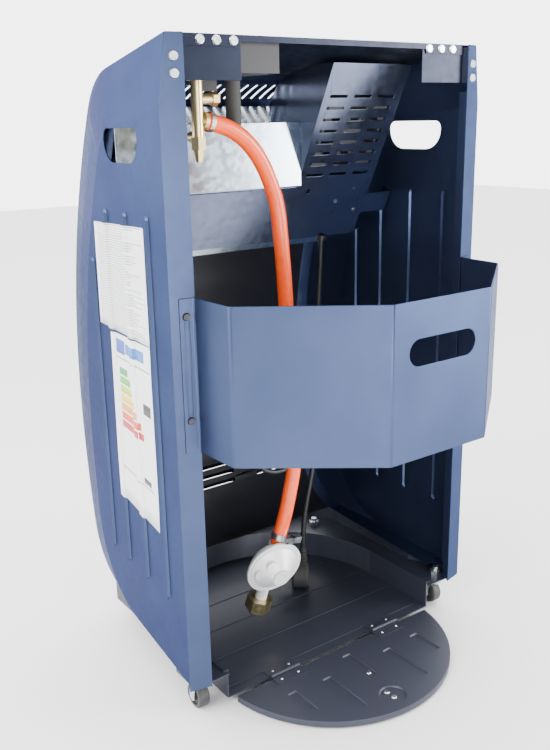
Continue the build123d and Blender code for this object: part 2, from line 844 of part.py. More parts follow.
def caster_fork(x, depth):
    """Pressed fork that swivels on the stem's pin, with the riveted axle of the wheel."""
    axle_depth = depth + caster_trail
    with BuildPart() as fork:
        with BuildSketch(level(fork_top)):
            with Locations((x, -depth)):
                Circle(cup_radius)
            with Locations((x, -(depth + axle_depth) / 2)):
                Rectangle(2 * fork_half, caster_trail)
        extrude(amount=-fork_sheet)
        for side in (1, -1):
            with BuildSketch(across(x + side * (fork_half - fork_sheet / 2) - fork_sheet / 2)):
                with BuildLine():
                    Polyline(
                        (-axle_depth - 5, wheel_centre), (-axle_depth - 5, wheel_centre + 5),
                        (-axle_depth, fork_top), (-depth, fork_top),
                        (-axle_depth + 5, wheel_centre + 5), (-axle_depth + 5, wheel_centre),
                    )
                    ThreePointArc(
                        (-axle_depth + 5, wheel_centre), (-axle_depth, wheel_centre - 5),
                        (-axle_depth - 5, wheel_centre),
                    )
                make_face()
            extrude(amount=fork_sheet)
        with BuildSketch(level(fork_top)):
            with Locations((x, -depth)):
                Circle(pivot_radius + running_gap)
        extrude(amount=-fork_sheet, mode=Mode.SUBTRACT)
        with BuildSketch(across(x - fork_half - 1)):
            with Locations((-axle_depth, wheel_centre)):
                Circle(caster_axle_radius)
        extrude(amount=2 * fork_half + 2)
    return fork.part


def caster_wheel(x, depth):
    """Plastic wheel with a hub boss and rounded tread."""
    with BuildPart() as wheel:
        with BuildSketch(across(x - caster_wheel_width / 2)):
            with Locations((-depth - caster_trail, wheel_centre)):
                Circle(caster_wheel_radius)
        extrude(amount=caster_wheel_width)
        fillet(wheel.edges().filter_by(GeomType.CIRCLE), 2.5)
        for start in (x - caster_wheel_width / 2, x + caster_wheel_width / 2 - 2):
            with BuildSketch(across(start)):
                with Locations((-depth - caster_trail, wheel_centre)):
                    Circle(caster_wheel_radius * 0.68)
                    Circle(caster_wheel_radius * 0.36, mode=Mode.SUBTRACT)
            extrude(amount=2, mode=Mode.SUBTRACT)
        with BuildSketch(across(x - caster_wheel_width)):
            with Locations((-depth - caster_trail, wheel_centre)):
                Circle(caster_axle_radius + running_gap)
        extrude(amount=2 * caster_wheel_width, mode=Mode.SUBTRACT)
    return wheel.part


for corner, (x, depth) in caster_places.items():
    for piece, make in (("stem", caster_stem), ("fork", caster_fork), ("wheel", caster_wheel)):
        with BuildPart() as caster_piece:
            add(make(x, depth))
        finish(caster_piece, f"caster_{piece}_{corner}")
        print(piece, corner, caster_piece.part.is_valid, len(caster_piece.part.solids()))

with BuildPart() as caster_nuts:
    with BuildSketch(level(base_sheet + seat)):
        with Locations(*[(x, -depth) for x, depth in caster_places.values()]):
            RegularPolygon(nut_across / 2, 6, major_radius=False)
            Circle(caster_stem_radius + seat, mode=Mode.SUBTRACT)
    extrude(amount=nut_height)
finish(caster_nuts, "caster_nuts")

# ---------------------------------------------------------------- leaning guard, heat shield and fan
side_inner_at_guard = cabinet_half_width - side_taper * guard_foot_depth - sheet
side_inner_at_hood = cabinet_half_width - side_taper * shield_hood_depth - sheet


def beside_guard(rise, lift):
    """A point in front of the guard, as depth axis and height, for outlines on a plane across X."""
    point = guard_plane(lift).from_local_coords((0, rise, 0))
    return (point.Y - rear_y, point.Z - foot_z)


duct_edge_points = [(-depth, cabinet_height - roof_fall * depth - drop) for depth, drop in duct_edge]
with BuildPart() as rear_guard:
    with BuildSketch(guard_plane(0)):
        Polygon(
            (guard_outer_x, 0), (side_inner_at_guard - fit, 0),
            (side_inner_at_guard - fit, guard_strip_height), (guard_inner_x, guard_strip_height),
            (guard_inner_x, guard_length), (guard_outer_x, guard_length),
            align=None,
        )
    extrude(amount=sheet)
    with BuildSketch(across(guard_inner_x)):
        with BuildLine():
            Polyline(
                beside_guard(guard_strip_height, 0),
                beside_guard(guard_length, 0),
                duct_edge_points[0],
            )
            Spline(*duct_edge_points)
            Polyline(
                duct_edge_points[-1],
                (-shield_depth, shield_fold - duct_flange),
                (-shield_depth, shield_bottom),
                beside_guard(guard_strip_height, 0),
            )
        make_face()
    extrude(amount=-sheet)
    with BuildSketch(guard_plane(0)):
        for row in range(guard_slot_rows):
            for x in guard_slot_columns:
                with Locations((x, guard_slot_first + row * guard_slot_pitch)):
                    SlotOverall(guard_slot_length, guard_slot_width)
        with Locations(*guard_holes):
            Circle(guard_hole_radius)
        with Locations(*guard_spare_holes):
            Circle(guard_spare_radius)
    extrude(amount=sheet, mode=Mode.SUBTRACT)
finish(rear_guard, "rear_guard")
print("guard", rear_guard.part.is_valid, len(rear_guard.part.solids()))

bracket_screws = ((-142.5, 36.8), (-106.9, 51.4))
bracket_screw_radius = 2.4
bracket_foot = 30.0
bracket_top = 58.0
bracket_margin = 7.0
bracket_flange = 14.0
bracket_left = -side_inner_at_guard + side_taper * bracket_flange + fit
bracket_right = bracket_screws[1][0] + bracket_margin
with BuildPart() as guard_bracket:
    with BuildSketch(guard_plane(sheet + seat)):
        with Locations(((bracket_right + bracket_left) / 2, (bracket_foot + bracket_top) / 2)):
            Rectangle(bracket_right - bracket_left, bracket_top - bracket_foot)
        with Locations(*guard_spare_holes):
            Circle(guard_spare_radius, mode=Mode.SUBTRACT)
    extrude(amount=sheet)
    with BuildSketch(guard_plane(sheet + seat)):
        with Locations((bracket_left + sheet / 2, (bracket_foot + bracket_top) / 2)):
            Rectangle(sheet, bracket_top - bracket_foot)
    extrude(amount=bracket_flange)
finish(guard_bracket, "guard_bracket")
print("bracket", len(guard_bracket.part.solids()))

cabinet_room = cabinet_solid(sheet + fit, 0)
with BuildPart() as heat_shield:
    with BuildSketch(across(guard_inner_x + fit)):
        with BuildLine():
            Polyline(
                beside_guard(guard_strip_height - 16, sheet + seat),
                beside_guard(guard_strip_height + 2, sheet + seat),
                (-shield_depth, shield_bottom),
                (-shield_depth, shield_fold),
                (-shield_hood_depth, shield_hood_height),
            )
            offset(amount=shield_sheet, side=Side.LEFT)
        make_face()
    extrude(amount=side_inner_at_guard - guard_inner_x)
    add(cabinet_room, mode=Mode.INTERSECT)
    with BuildSketch(upright(shield_depth - pipe_radius)):
        with Locations((pipe_x, pipe_cross_height)):
            Circle(2 * pipe_radius)
    extrude(amount=2 * pipe_radius, mode=Mode.SUBTRACT)
finish(heat_shield, "heat_shield")
print("shield", heat_shield.part.bounding_box())

fan_back = sheet + seat
with BuildPart() as fan_frame:
    with BuildSketch(guard_plane(fan_back)):
        with Locations((fan_x, fan_rise)):
            RectangleRounded(fan_size, fan_size, 4)
            Circle(fan_bore_radius, mode=Mode.SUBTRACT)
    extrude(amount=fan_thickness)
    with BuildSketch(guard_plane(fan_back)):
        with Locations((fan_x, fan_rise)):
            Circle(fan_hub_radius)
            for turn in range(0, 180, 45):
                Rectangle(2 * fan_bore_radius + 2, 4, rotation=turn + 22)
    extrude(amount=3)
    with BuildSketch(guard_plane(fan_back + 3)):
        with Locations((fan_x, fan_rise)):
            Circle(fan_hub_radius - 4)
    extrude(amount=5)
    with BuildSketch(guard_plane(fan_back)):
        with Locations((fan_x, fan_rise)):
            Circle(fan_shaft_radius + running_gap)
    extrude(amount=fan_thickness, mode=Mode.SUBTRACT)
finish(fan_frame, "fan_frame")

with BuildPart() as fan_rotor:
    with BuildSketch(guard_plane(fan_back + 4)):
        with Locations((fan_x, fan_rise)):
            Circle(fan_hub_radius)
            Circle(fan_hub_radius - 2, mode=Mode.SUBTRACT)
    extrude(amount=fan_thickness - 8)
    with BuildSketch(guard_plane(fan_back + fan_thickness - 6)):
        with Locations((fan_x, fan_rise)):
            Circle(fan_hub_radius)
    extrude(amount=2)
    with BuildSketch(guard_plane(fan_back + 1)):
        with Locations((fan_x, fan_rise)):
            Circle(fan_shaft_radius)
    extrude(amount=fan_thickness - 6)
    fan_axis = guard_plane(fan_back + fan_thickness / 2)
    hub_centre = fan_axis.from_local_coords((fan_x, fan_rise, 0))
    for blade in range(fan_blades):
        spin = radians(blade * 360 / fan_blades)
        out = fan_axis.x_dir * cos(spin) + fan_axis.y_dir * sin(spin)
        with BuildSketch(Plane(origin=hub_centre, x_dir=fan_axis.z_dir, z_dir=out).offset(fan_hub_radius - 1)):
            Rectangle(18, 1.6, rotation=50)
        extrude(amount=fan_blade_radius - fan_hub_radius + 1)
finish(fan_rotor, "fan_rotor")
print("fan", fan_frame.part.is_valid, fan_rotor.part.is_valid, len(fan_rotor.part.solids()))

with BuildPart() as guard_screws:
    with BuildSketch(guard_plane(-seat)):
        with Locations(*bracket_screws):
            Circle(bracket_screw_radius)
    extrude(amount=-rivet_rise, taper=20)
finish(guard_screws, "guard_screws")

# ---------------------------------------------------------------- burner
housing_face = -burner_recess
housing_back = housing_face - housing_thickness
plenum_depth = 18.0
venturi_radius = 9.0
venturi_length = 12.0
venturi_v = -manifold_drop
plaque_places = [(i * plaque_pitch, 0) for i in (-1, 0, 1)]
venturi_places = [(i * plaque_pitch, venturi_v) for i in (-1, 0, 1)]
with BuildPart() as burner_housing:
    with BuildSketch(burner_plane(housing_back)):
        Rectangle(housing_width, housing_height)
    extrude(amount=housing_thickness)
    with BuildSketch(burner_plane(housing_face)):
        with Locations(*plaque_places):
            Rectangle(plaque_width + fit, plaque_height + fit)
    extrude(amount=-plaque_thickness - seat, mode=Mode.SUBTRACT)
    with BuildSketch(burner_plane(housing_face - plaque_thickness)):
        with Locations(*plaque_places):
            Rectangle(plaque_width - 8, plaque_height - 8)
    extrude(amount=-plenum_depth, mode=Mode.SUBTRACT)
    with BuildSketch(burner_plane(housing_back)):
        with Locations(*venturi_places):
            Circle(venturi_radius)
    extrude(amount=-venturi_length)
    with BuildSketch(burner_plane(housing_back - venturi_length)):
        with Locations(*venturi_places):
            Circle(venturi_radius - 1.5)
    extrude(amount=venturi_length + housing_thickness - plaque_thickness - plenum_depth + 1, mode=Mode.SUBTRACT)
finish(burner_housing, "burner_housing")

with BuildPart() as ceramic_plaques:
    with BuildSketch(burner_plane(housing_face)):
        with Locations(*plaque_places):
            Rectangle(plaque_width, plaque_height)
    extrude(amount=-plaque_thickness)
finish(ceramic_plaques, "ceramic_plaques")

rim_lift = -8.4
with BuildPart() as reflector:
    wide = burner_plane(rim_lift)
    narrow = burner_plane(housing_face + seat)
    with BuildSketch(wide):
        Rectangle(window_width + 12, window_height + 10)
    with BuildSketch(narrow):
        Rectangle(housing_width + 6, housing_height + 6)
    loft(ruled=True)
    with BuildSketch(wide.offset(fit)):
        Rectangle(window_width + 10.4, window_height + 8.4)
    with BuildSketch(narrow.offset(-fit)):
        Rectangle(plaque_pitch * 2 + plaque_width + 2, plaque_height + 2)
    loft(ruled=True, mode=Mode.SUBTRACT)
finish(reflector, "reflector")
print("reflector", reflector.part.is_valid, reflector.part.volume)

bar_radius = 1.4
with BuildPart() as wire_guard:
    ring_x = window_width / 2 + 3
    ring_v = window_height / 2 + 2
    with BuildSketch(burner_plane(rim_lift + seat)):
        RectangleRounded(2 * ring_x + 2 * grille_rod, 2 * ring_v + 2 * grille_rod, 8)
        RectangleRounded(2 * ring_x - 2 * grille_rod, 2 * ring_v - 2 * grille_rod, 6, mode=Mode.SUBTRACT)
    extrude(amount=2 * grille_rod - 2 * seat)
    uprights = burner_plane(rim_lift + bar_radius + 2 * seat)
    bars = uprights.offset(1.35 * bar_radius)
    for row in range(grille_rows):
        v = (row - (grille_rows - 1) / 2) * grille_pitch
        with BuildSketch(Plane(origin=bars.from_local_coords((-ring_x, v, 0)), z_dir=(1, 0, 0))):
            Circle(bar_radius)
        extrude(amount=2 * ring_x)
    for column in (-1, 0, 1):
        foot = uprights.from_local_coords((column * plaque_pitch * 0.9, -ring_v, 0))
        with BuildSketch(Plane(origin=foot, z_dir=bars.y_dir)):
            Circle(bar_radius)
        extrude(amount=2 * ring_v)
finish(wire_guard, "wire_guard")
print("wire guard", wire_guard.part.is_valid, len(wire_guard.part.solids()))

bracket_width = 60.0
with BuildPart() as burner_brackets:
    for side in (1, -1):
        inner = housing_width / 2 + seat
        outer = side_inner_at_hood - side_taper * rib_width - fit
        with BuildSketch(burner_plane(housing_back + 4)):
            with Locations((side * (inner + outer) / 2, 0)):
                Rectangle(outer - inner, bracket_width)
        extrude(amount=1.5)
        with BuildSketch(burner_plane(housing_back + 4)):
            with Locations((side * (inner + 0.75), 0)):
                Rectangle(1.5, bracket_width)
        extrude(amount=16)
finish(burner_brackets, "burner_brackets")

# ---------------------------------------------------------------- gas way: manifold, pipe and valve
manifold_lift = housing_back - manifold_gap
manifold_line = burner_plane(manifold_lift)
manifold_end = plaque_pitch + 14.0
nozzle_radius = 3.5
with BuildPart() as gas_manifold:
    with BuildSketch(Plane(origin=manifold_line.from_local_coords((-manifold_end, venturi_v, 0)), z_dir=(1, 0, 0))):
        Circle(manifold_radius)
    extrude(amount=manifold_end + pipe_x + manifold_radius)
    with BuildSketch(manifold_line):
        with Locations(*venturi_places):
            Circle(nozzle_radius)
    extrude(amount=manifold_gap - venturi_length + 1.5)
    with BuildSketch(manifold_line):
        for side in (1, -1):
            with Locations((side * plaque_pitch / 2, venturi_v)):
                Rectangle(2, 2 * manifold_radius)
    extrude(amount=manifold_gap - seat)
finish(gas_manifold, "gas_manifold")
print("manifold", gas_manifold.part.is_valid, len(gas_manifold.part.solids()))

manifold_point = manifold_line.from_local_coords((pipe_x, venturi_v, 0))
pipe_port_height = 588.0
pipe_port_reach = 6.0
pipe_elbow_height = 512.0
pipe_start = place(valve_x, valve_depth + valve_radius + pipe_port_reach + seat, pipe_port_height)
pipe_points = [
    pipe_start,
    place(valve_x, 74, pipe_port_height),
    place(pipe_x, 96, 574),
    place(pipe_x, 140, 560),
    Vector(pipe_x, manifold_point.Y, foot_z + pipe_elbow_height),
    Vector(pipe_x, manifold_point.Y, manifold_point.Z + manifold_radius + seat),
]
with BuildPart() as supply_pipe:
    with BuildLine() as pipe_line:
        FilletPolyline(*pipe_points, radius=9)
    with BuildSketch(Plane(origin=pipe_start, z_dir=pipe_line.line % 0)):
        Circle(pipe_radius)
    sweep(path=pipe_line.line)
finish(supply_pipe, "supply_pipe")
print("pipe", supply_pipe.part.is_valid, supply_pipe.part.volume)

outlet_turn = radians(outlet_fall)
outlet = Plane(
    origin=place(valve_x, valve_depth, outlet_height),
    x_dir=(0, 1, 0),
    z_dir=(-cos(outlet_turn), 0, -sin(outlet_turn)),
)
valve_top = tray_floor_height - seat
spindle_foot = 634.0
valve_hex = 12.0
outlet_radius = 5.0
side_port_height = 624.0
side_port_reach = 10.0
with BuildPart() as gas_valve:
    with BuildSketch(level(valve_foot_height)):
        with Locations((valve_x, -valve_depth)):
            RegularPolygon(valve_hex_across / 2, 6, major_radius=False)
    extrude(amount=valve_hex)
    with BuildSketch(level(valve_foot_height)):
        with Locations((valve_x, -valve_depth)):
            Circle(valve_radius)
    extrude(amount=-valve_hex, taper=12)
    with BuildSketch(level(valve_foot_height + valve_hex)):
        with Locations((valve_x, -valve_depth)):
            Circle(valve_radius)
    extrude(amount=valve_top - valve_foot_height - valve_hex)
    with BuildSketch(level(valve_top - 6)):
        with Locations((valve_x, -valve_depth)):
            Circle(valve_radius * 1.5)
    extrude(amount=6)
    with BuildSketch(outlet):
        Circle(outlet_radius)
    extrude(amount=outlet_reach)
    with BuildSketch(outlet.offset(outlet_reach - 4)):
        Circle(hose_radius)
    extrude(amount=4)
    with BuildSketch(Plane(origin=place(valve_x, valve_depth, pipe_port_height), z_dir=(0, -1, 0))):
        Circle(pipe_radius + 2)
    extrude(amount=valve_radius + pipe_port_reach)
    side_port = Plane(origin=place(valve_x, valve_depth, side_port_height), z_dir=(-1, 0, 0))
    with BuildSketch(side_port):
        Circle(5)
    extrude(amount=valve_radius + side_port_reach)
    with BuildSketch(side_port.offset(valve_radius + side_port_reach)):
        RegularPolygon(6, 6, major_radius=False)
    extrude(amount=7)
    with BuildSketch(level(spindle_foot - spindle_push - 1)):
        with Locations((valve_x, -valve_depth)):
            Circle(spindle_radius + running_gap)
    extrude(amount=cabinet_height, mode=Mode.SUBTRACT)
finish(gas_valve, "gas_valve")
print("valve", gas_valve.part.is_valid, len(gas_valve.part.solids()))

tray_floor_top = tray_floor_height + sheet
knob_foot = tray_floor_top + spindle_push + 1
spindle_top = knob_foot + knob_height * 0.6
with BuildPart() as valve_spindle:
    with BuildSketch(level(spindle_foot)):
        with Locations((valve_x, -valve_depth)):
            Circle(spindle_radius)
    extrude(amount=spindle_top - spindle_foot)
finish(valve_spindle, "valve_spindle")

with BuildPart() as control_knob:
    with BuildSketch(level(knob_foot)):
        with Locations((valve_x, -valve_depth)):
            Circle(knob_radius)
    extrude(amount=knob_height * 0.45, taper=6)
    with BuildSketch(level(knob_foot)):
        with Locations((valve_x, -valve_depth)):
            SlotOverall(knob_radius * 1.8, knob_radius * 0.55, rotation=90)
    extrude(amount=knob_height, taper=5)
    with BuildSketch(level(knob_foot)):
        with Locations((valve_x, -valve_depth)):
            Circle(spindle_radius + running_gap)
    extrude(amount=spindle_top - knob_foot + seat, mode=Mode.SUBTRACT)
finish(control_knob, "control_knob")

# ---------------------------------------------------------------- sunk control panel and its controls
igniter_foot = 598.0
collar_height = 5.0
button_foot = 640.0
button_rise = 12.0
with BuildPart() as piezo_igniter:
    with BuildSketch(level(igniter_foot)):
        with Locations((igniter_x, -igniter_depth)):
            Circle(igniter_radius)
    extrude(amount=valve_top - igniter_foot)
    with BuildSketch(level(igniter_foot)):
        with Locations((igniter_x, -igniter_depth)):
            Circle(button_radius + 1.5)
    extrude(amount=tray_floor_top + collar_height - igniter_foot)
    with BuildSketch(level(button_foot - button_travel - 1)):
        with Locations((igniter_x, -igniter_depth)):
            Circle(button_radius + running_gap)
    extrude(amount=cabinet_height, mode=Mode.SUBTRACT)
    with BuildSketch(level(igniter_foot - 8)):
        with Locations((igniter_x, -igniter_depth)):
            Circle(2)
    extrude(amount=8)
finish(piezo_igniter, "piezo_igniter")

with BuildPart() as piezo_button:
    with BuildSketch(level(button_foot)):
        with Locations((igniter_x, -igniter_depth)):
            Circle(button_radius)
    extrude(amount=tray_floor_top + button_rise - button_foot)
    fillet(piezo_button.edges().group_by(Axis.Z)[-1], 1.5)
finish(piezo_button, "piezo_button")

switch_rim = 1.5
switch_drop = 16.0
rocker_length = switch_length - 5.6
rocker_width = switch_width - 5.6
rocker_pin = 1.2
pivot_height = tray_floor_top + switch_rim
with BuildPart() as fan_switch:
    with BuildSketch(level(tray_floor_top + seat)):
        with Locations((switch_x, -switch_depth)):
            RectangleRounded(switch_length, switch_width, 1.5)
    extrude(amount=switch_rim)
    with BuildSketch(level(tray_floor_top - switch_drop)):
        with Locations((switch_x, -switch_depth)):
            Rectangle(switch_length - 3, switch_width - 3)
    extrude(amount=switch_drop + seat)
    with BuildSketch(level(tray_floor_top - switch_drop + 2)):
        with Locations((switch_x, -switch_depth)):
            Rectangle(rocker_length + 0.5, rocker_width + 0.5)
    extrude(amount=2 * switch_drop, mode=Mode.SUBTRACT)
    with BuildSketch(upright(switch_depth - switch_width)):
        with Locations((switch_x, pivot_height - 3)):
            Circle(rocker_pin + running_gap)
    extrude(amount=2 * switch_width, mode=Mode.SUBTRACT)
finish(fan_switch, "fan_switch")

rocker_frame = Plane(
    origin=place(switch_x, switch_depth, pivot_height - 3),
    x_dir=(cos(radians(switch_tilt)), 0, sin(radians(switch_tilt))),
    z_dir=(0, -1, 0),
)
with BuildPart() as fan_switch_rocker:
    with BuildSketch(rocker_frame.offset(-rocker_width / 2)):
        Polygon(
            (-rocker_length / 2 + 0.3, 3), (-rocker_length / 2 + 0.6, 5), (0, 3.6), (rocker_length / 2 - 0.6, 5),
            (rocker_length / 2 - 0.3, 3), (3, -4), (-3, -4),
            align=None,
        )
    extrude(amount=rocker_width)
    with BuildSketch(rocker_frame.offset(-switch_width / 2 + 2)):
        Circle(rocker_pin)
    extrude(amount=switch_width - 4)
finish(fan_switch_rocker, "fan_switch_rocker")

tray_middle_x = (tray_left + tray_right) / 2
tray_middle_depth = (tray_back + tray_front) / 2
tray_width = tray_right - tray_left - 2 * fit
tray_length = tray_front - tray_back - 2 * fit
roof_stretch = 1 / cos(radians(roof_angle))
with BuildPart() as control_panel:
    with BuildSketch(level(tray_floor_height)):
        with Locations((tray_middle_x, -tray_middle_depth)):
            Rectangle(tray_width, tray_length)
    extrude(amount=cabinet_height - tray_floor_height + tray_flange)
    with BuildSketch(level(tray_floor_top)):
        with Locations((tray_middle_x, -tray_middle_depth)):
            Rectangle(tray_width - 2 * sheet, tray_length - 2 * sheet)
    extrude(amount=cabinet_height, mode=Mode.SUBTRACT)
    split(bisect_by=roof_plane(seat + 1), keep=Keep.BOTTOM)
    with BuildSketch(roof_plane(seat)):
        with Locations((tray_middle_x, -tray_middle_depth * roof_stretch)):
            RectangleRounded(tray_width + 2 * tray_flange, tray_length * roof_stretch + 2 * tray_flange, 4)
            Rectangle(tray_width - 2 * sheet, (tray_length - 2 * sheet) * roof_stretch, mode=Mode.SUBTRACT)
    extrude(amount=1)
    with BuildSketch(level(tray_floor_height)):
        with Locations((valve_x, -valve_depth)):
            Circle(spindle_radius + 2)
        with Locations((igniter_x, -igniter_depth)):
            Circle(button_radius + 1.5 + screw_clearance)
        with Locations((switch_x, -switch_depth)):
            Rectangle(switch_length - 3 + fit, switch_width - 3 + fit)
    extrude(amount=sheet, mode=Mode.SUBTRACT)
finish(control_panel, "control_panel")
print("panel", control_panel.part.is_valid, len(control_panel.part.solids()))

# ---------------------------------------------------------------- gas hose and regulator
def corner_radii(points):
    """Radius of each bend of a cord: as large as the shorter of its two runs allows."""
    radii = []
    for before, corner, after in zip(points, points[1:], points[2:]):
        shorter = min((corner - before).length, (after - corner).length)
        turn = radians((corner - before).get_angle(after - corner))
        radii.append(0.45 * shorter / tan(turn / 2))
    return radii


def cord_tube(points, radius, name):
    """Solid tube along straight runs joined by tangent arcs; prints its radii, length and volume."""
    radii = corner_radii(points)
    with BuildPart() as tube:
        with BuildLine() as route:
            FilletPolyline(*points, radius=radii)
        with BuildSketch(Plane(origin=points[0], z_dir=points[1] - points[0])):
            Circle(radius)
        sweep(path=route.line)
    length = sum(edge.length for edge in route.line.edges())
    print(name, "radii", [round(r) for r in radii], "length", round(length, 1))
    print(name, "volume over section times length", tube.part.volume / (pi * radius**2 * length))
    return tube.part


gas_way = Vector(tan(radians(regulator_side_lean)), -tan(radians(regulator_front_lean)), -1).normalized()
heading = Vector(sin(radians(regulator_face)), cos(radians(regulator_face)), 0)
face_way = (heading - Vector(0, 0, heading.dot(gas_way) / gas_way.Z)).normalized()
hose_end = place(hose_end_x, hose_end_depth, hose_end_height)
hose_route = [
    outlet.offset(outlet_reach + seat).origin,
    outlet.offset(outlet_reach + seat + 14).origin,
    place(109.3, 36, 593.9),
    place(92.5, 36, 582.8),
    place(77.2, 36.4, 566),
    place(63.9, 37, 541.9),
    place(54, 37.6, 515),
    place(50, 38.2, 480),
    place(45.6, 39, 435),
    place(42.2, 39.5, 380),
    place(40.6, 39.5, 300),
    place(33.5, 38.5, 218),
    place(43.6, 39.3, 174),
    hose_end - gas_way * 38,
    hose_end,
]
hose_solid = cord_tube(hose_route, hose_radius, "gas_hose")
with BuildPart() as gas_hose:
    add(hose_solid)
finish(gas_hose, "gas_hose")

clamp_width = 9.0
clamp_sheet = 1.3
clamp_start = 2.0
lower_clamp_start = 8.5
clamp_outer = hose_radius + running_gap + clamp_sheet
worm_length = 22.0
worm_side = 7.0
hose_foot = Plane(origin=hose_end, x_dir=face_way, z_dir=-gas_way)
with BuildPart() as hose_clamps:
    with BuildSketch(outlet.offset(outlet_reach + clamp_start)):
        Circle(clamp_outer)
        Circle(clamp_outer - clamp_sheet, mode=Mode.SUBTRACT)
    extrude(amount=clamp_width / 2)
    with BuildSketch(hose_foot.offset(lower_clamp_start)):
        Circle(clamp_outer)
        with Locations((clamp_outer + worm_side / 2 - clamp_sheet, worm_length / 2)):
            Rectangle(worm_side, worm_length)
        Circle(clamp_outer - clamp_sheet, mode=Mode.SUBTRACT)
    extrude(amount=clamp_width)
finish(hose_clamps, "hose_clamps")
print("clamps", hose_clamps.part.is_valid, len(hose_clamps.part.solids()))

gas_line = Plane(origin=hose_end, x_dir=face_way, z_dir=gas_way)
housing_centre = gas_line.from_local_coords((0, regulator_offset, regulator_reach))
housing = Plane(origin=housing_centre, x_dir=gas_way, z_dir=face_way)
body_radius = 7.5
stem_radius = 5.0
stem_length = 8.0
stem_head = 3.0
stem_head_radius = 7.5
dish_radius = regulator_reach - 1
dish_rise = 10.0
rim_sheet = 3.0
inner_rim_sheet = 1.5
inner_rim_step = 3.0
cone_foot = dish_rise + rim_sheet + inner_rim_sheet
cone_foot_radius = regulator_radius - 2 * inner_rim_step
cone_rise = 15.5
boss_radius = 12.0
boss_rise = 3.0
scallops = ((-12.2, -11.7, 10.0), (1.7, -21.9, 6.0))
scallop_radius = 7.5
with BuildPart() as regulator:
    with BuildSketch(gas_line.offset(seat)):
        Circle(body_radius)
    extrude(amount=nut_start - seat)
    with BuildSketch(gas_line.offset(seat)):
        RegularPolygon(hose_radius, 6, major_radius=False)
    extrude(amount=5)
    with BuildSketch(housing):
        Circle(dish_radius)
    extrude(amount=dish_rise)
    with BuildSketch(housing.offset(dish_rise)):
        Circle(regulator_radius)
    extrude(amount=rim_sheet)
    with BuildSketch(housing.offset(dish_rise)):
        Circle(regulator_radius - inner_rim_step)
    extrude(amount=rim_sheet + inner_rim_sheet)
    with BuildSketch(housing.offset(cone_foot)):
        Circle(cone_foot_radius)
    with BuildSketch(housing.offset(cone_foot + cone_rise)):
        Circle(boss_radius)
    loft(ruled=True)
    with BuildSketch(housing.offset(cone_foot)):
        Circle(boss_radius - 1)
    extrude(amount=cone_rise + boss_rise)
    for down, aside, rise in scallops:
        away = degrees(atan2(aside, down))
        with BuildSketch(housing.offset(cone_foot)):
            with Locations(Location((down, aside), away)):
                Circle(scallop_radius)
                Circle(scallop_radius - sheet, mode=Mode.SUBTRACT)
                with Locations((-scallop_radius, 0)):
                    Rectangle(2 * scallop_radius, 2 * scallop_radius, mode=Mode.SUBTRACT)
        extrude(amount=rise)
    with BuildSketch(gas_line.offset(nut_start)):
        Circle(stem_radius)
    extrude(amount=stem_length)
    with BuildSketch(gas_line.offset(nut_start + stem_length - stem_head)):
        Circle(stem_head_radius)
    extrude(amount=stem_head)
finish(regulator, "regulator")
print("regulator", regulator.part.is_valid, len(regulator.part.solids()), regulator.part.bounding_box())

with BuildPart() as regulator_nut:
    with BuildSketch(gas_line.offset(nut_start + fit)):
        RegularPolygon(coupling_across / 2, 6, major_radius=False)
    extrude(amount=nut_length)
    with BuildSketch(gas_line.offset(nut_start)):
        Circle(stem_radius + running_gap)
    extrude(amount=stem_length, mode=Mode.SUBTRACT)
    with BuildSketch(gas_line.offset(nut_start + stem_length - stem_head - fit)):
        Circle(stem_head_radius + fit)
    extrude(amount=stem_head + 2 * fit, mode=Mode.SUBTRACT)
    with BuildSketch(gas_line.offset(nut_start + stem_length + fit)):
        Circle(coupling_bore_radius)
    extrude(amount=nut_length, mode=Mode.SUBTRACT)
finish(regulator_nut, "regulator_nut")
print("nut", regulator_nut.part.is_valid, len(regulator_nut.part.solids()))

# ---------------------------------------------------------------- mains lead, plug and their fittings
relief_top = 30.0
lead_loop = []
for i in range(8):
    around = radians(22.5 + 45 * i)
    lead_loop.append(place(
        lead_loop_x - lead_loop_radius * cos(around),
        lead_loop_front - (lead_loop_front - lead_loop_back) * i / 7,
        lead_loop_height - lead_loop_radius * sin(around),
    ))
lead_route = [
    place(-104, 160, 451.5),
    place(-102, 160, 415),
    place(-97.5, 159, 362),
    place(-89.5, 156, 302),
    place(-79.5, 152, 240),
    *lead_loop,
    place(-77.5, 139.5, 187),
    place(-73, 143, 140),
    place(-64.5, 147, 92),
    place(plug_x, plug_depth, 56),
    place(plug_x, plug_depth, relief_top + seat),
]
lead_solid = cord_tube(lead_route, lead_radius, "mains_lead")
with BuildPart() as mains_lead:
    add(lead_solid)
finish(mains_lead, "mains_lead")
print("loop clear of itself by", lead_loop_front - lead_loop_back - 2 * lead_radius)

grommet_height = 6.0
with BuildPart() as lead_grommet:
    with BuildSketch(Plane(origin=lead_route[0], z_dir=lead_route[0] - lead_route[1]).offset(seat)):
        Circle(lead_radius + 3)
    extrude(amount=grommet_height)
    with BuildSketch(guard_plane(-seat)):
        with Locations((lead_route[0].X, grommet_height)):
            Rectangle(3 * grommet_height, 2 * grommet_height)
    extrude(amount=sheet + 2 * seat, mode=Mode.SUBTRACT)
finish(lead_grommet, "lead_grommet")
print("grommet", lead_grommet.part.is_valid, len(lead_grommet.part.solids()))

tie_room = 0.8
tie_sheet = 1.2
strand_pitch = 11.1
with BuildPart() as lead_tie:
    with BuildSketch(level(tie_height - 2.5)):
        with Locations((-77.5, -145.2)):
            room = 2 * (lead_radius + tie_room)
            SlotOverall(strand_pitch + room + 2 * tie_sheet, room + 2 * tie_sheet, rotation=90)
            SlotOverall(strand_pitch + room, room, rotation=90, mode=Mode.SUBTRACT)
    extrude(amount=5)
finish(lead_tie, "lead_tie")

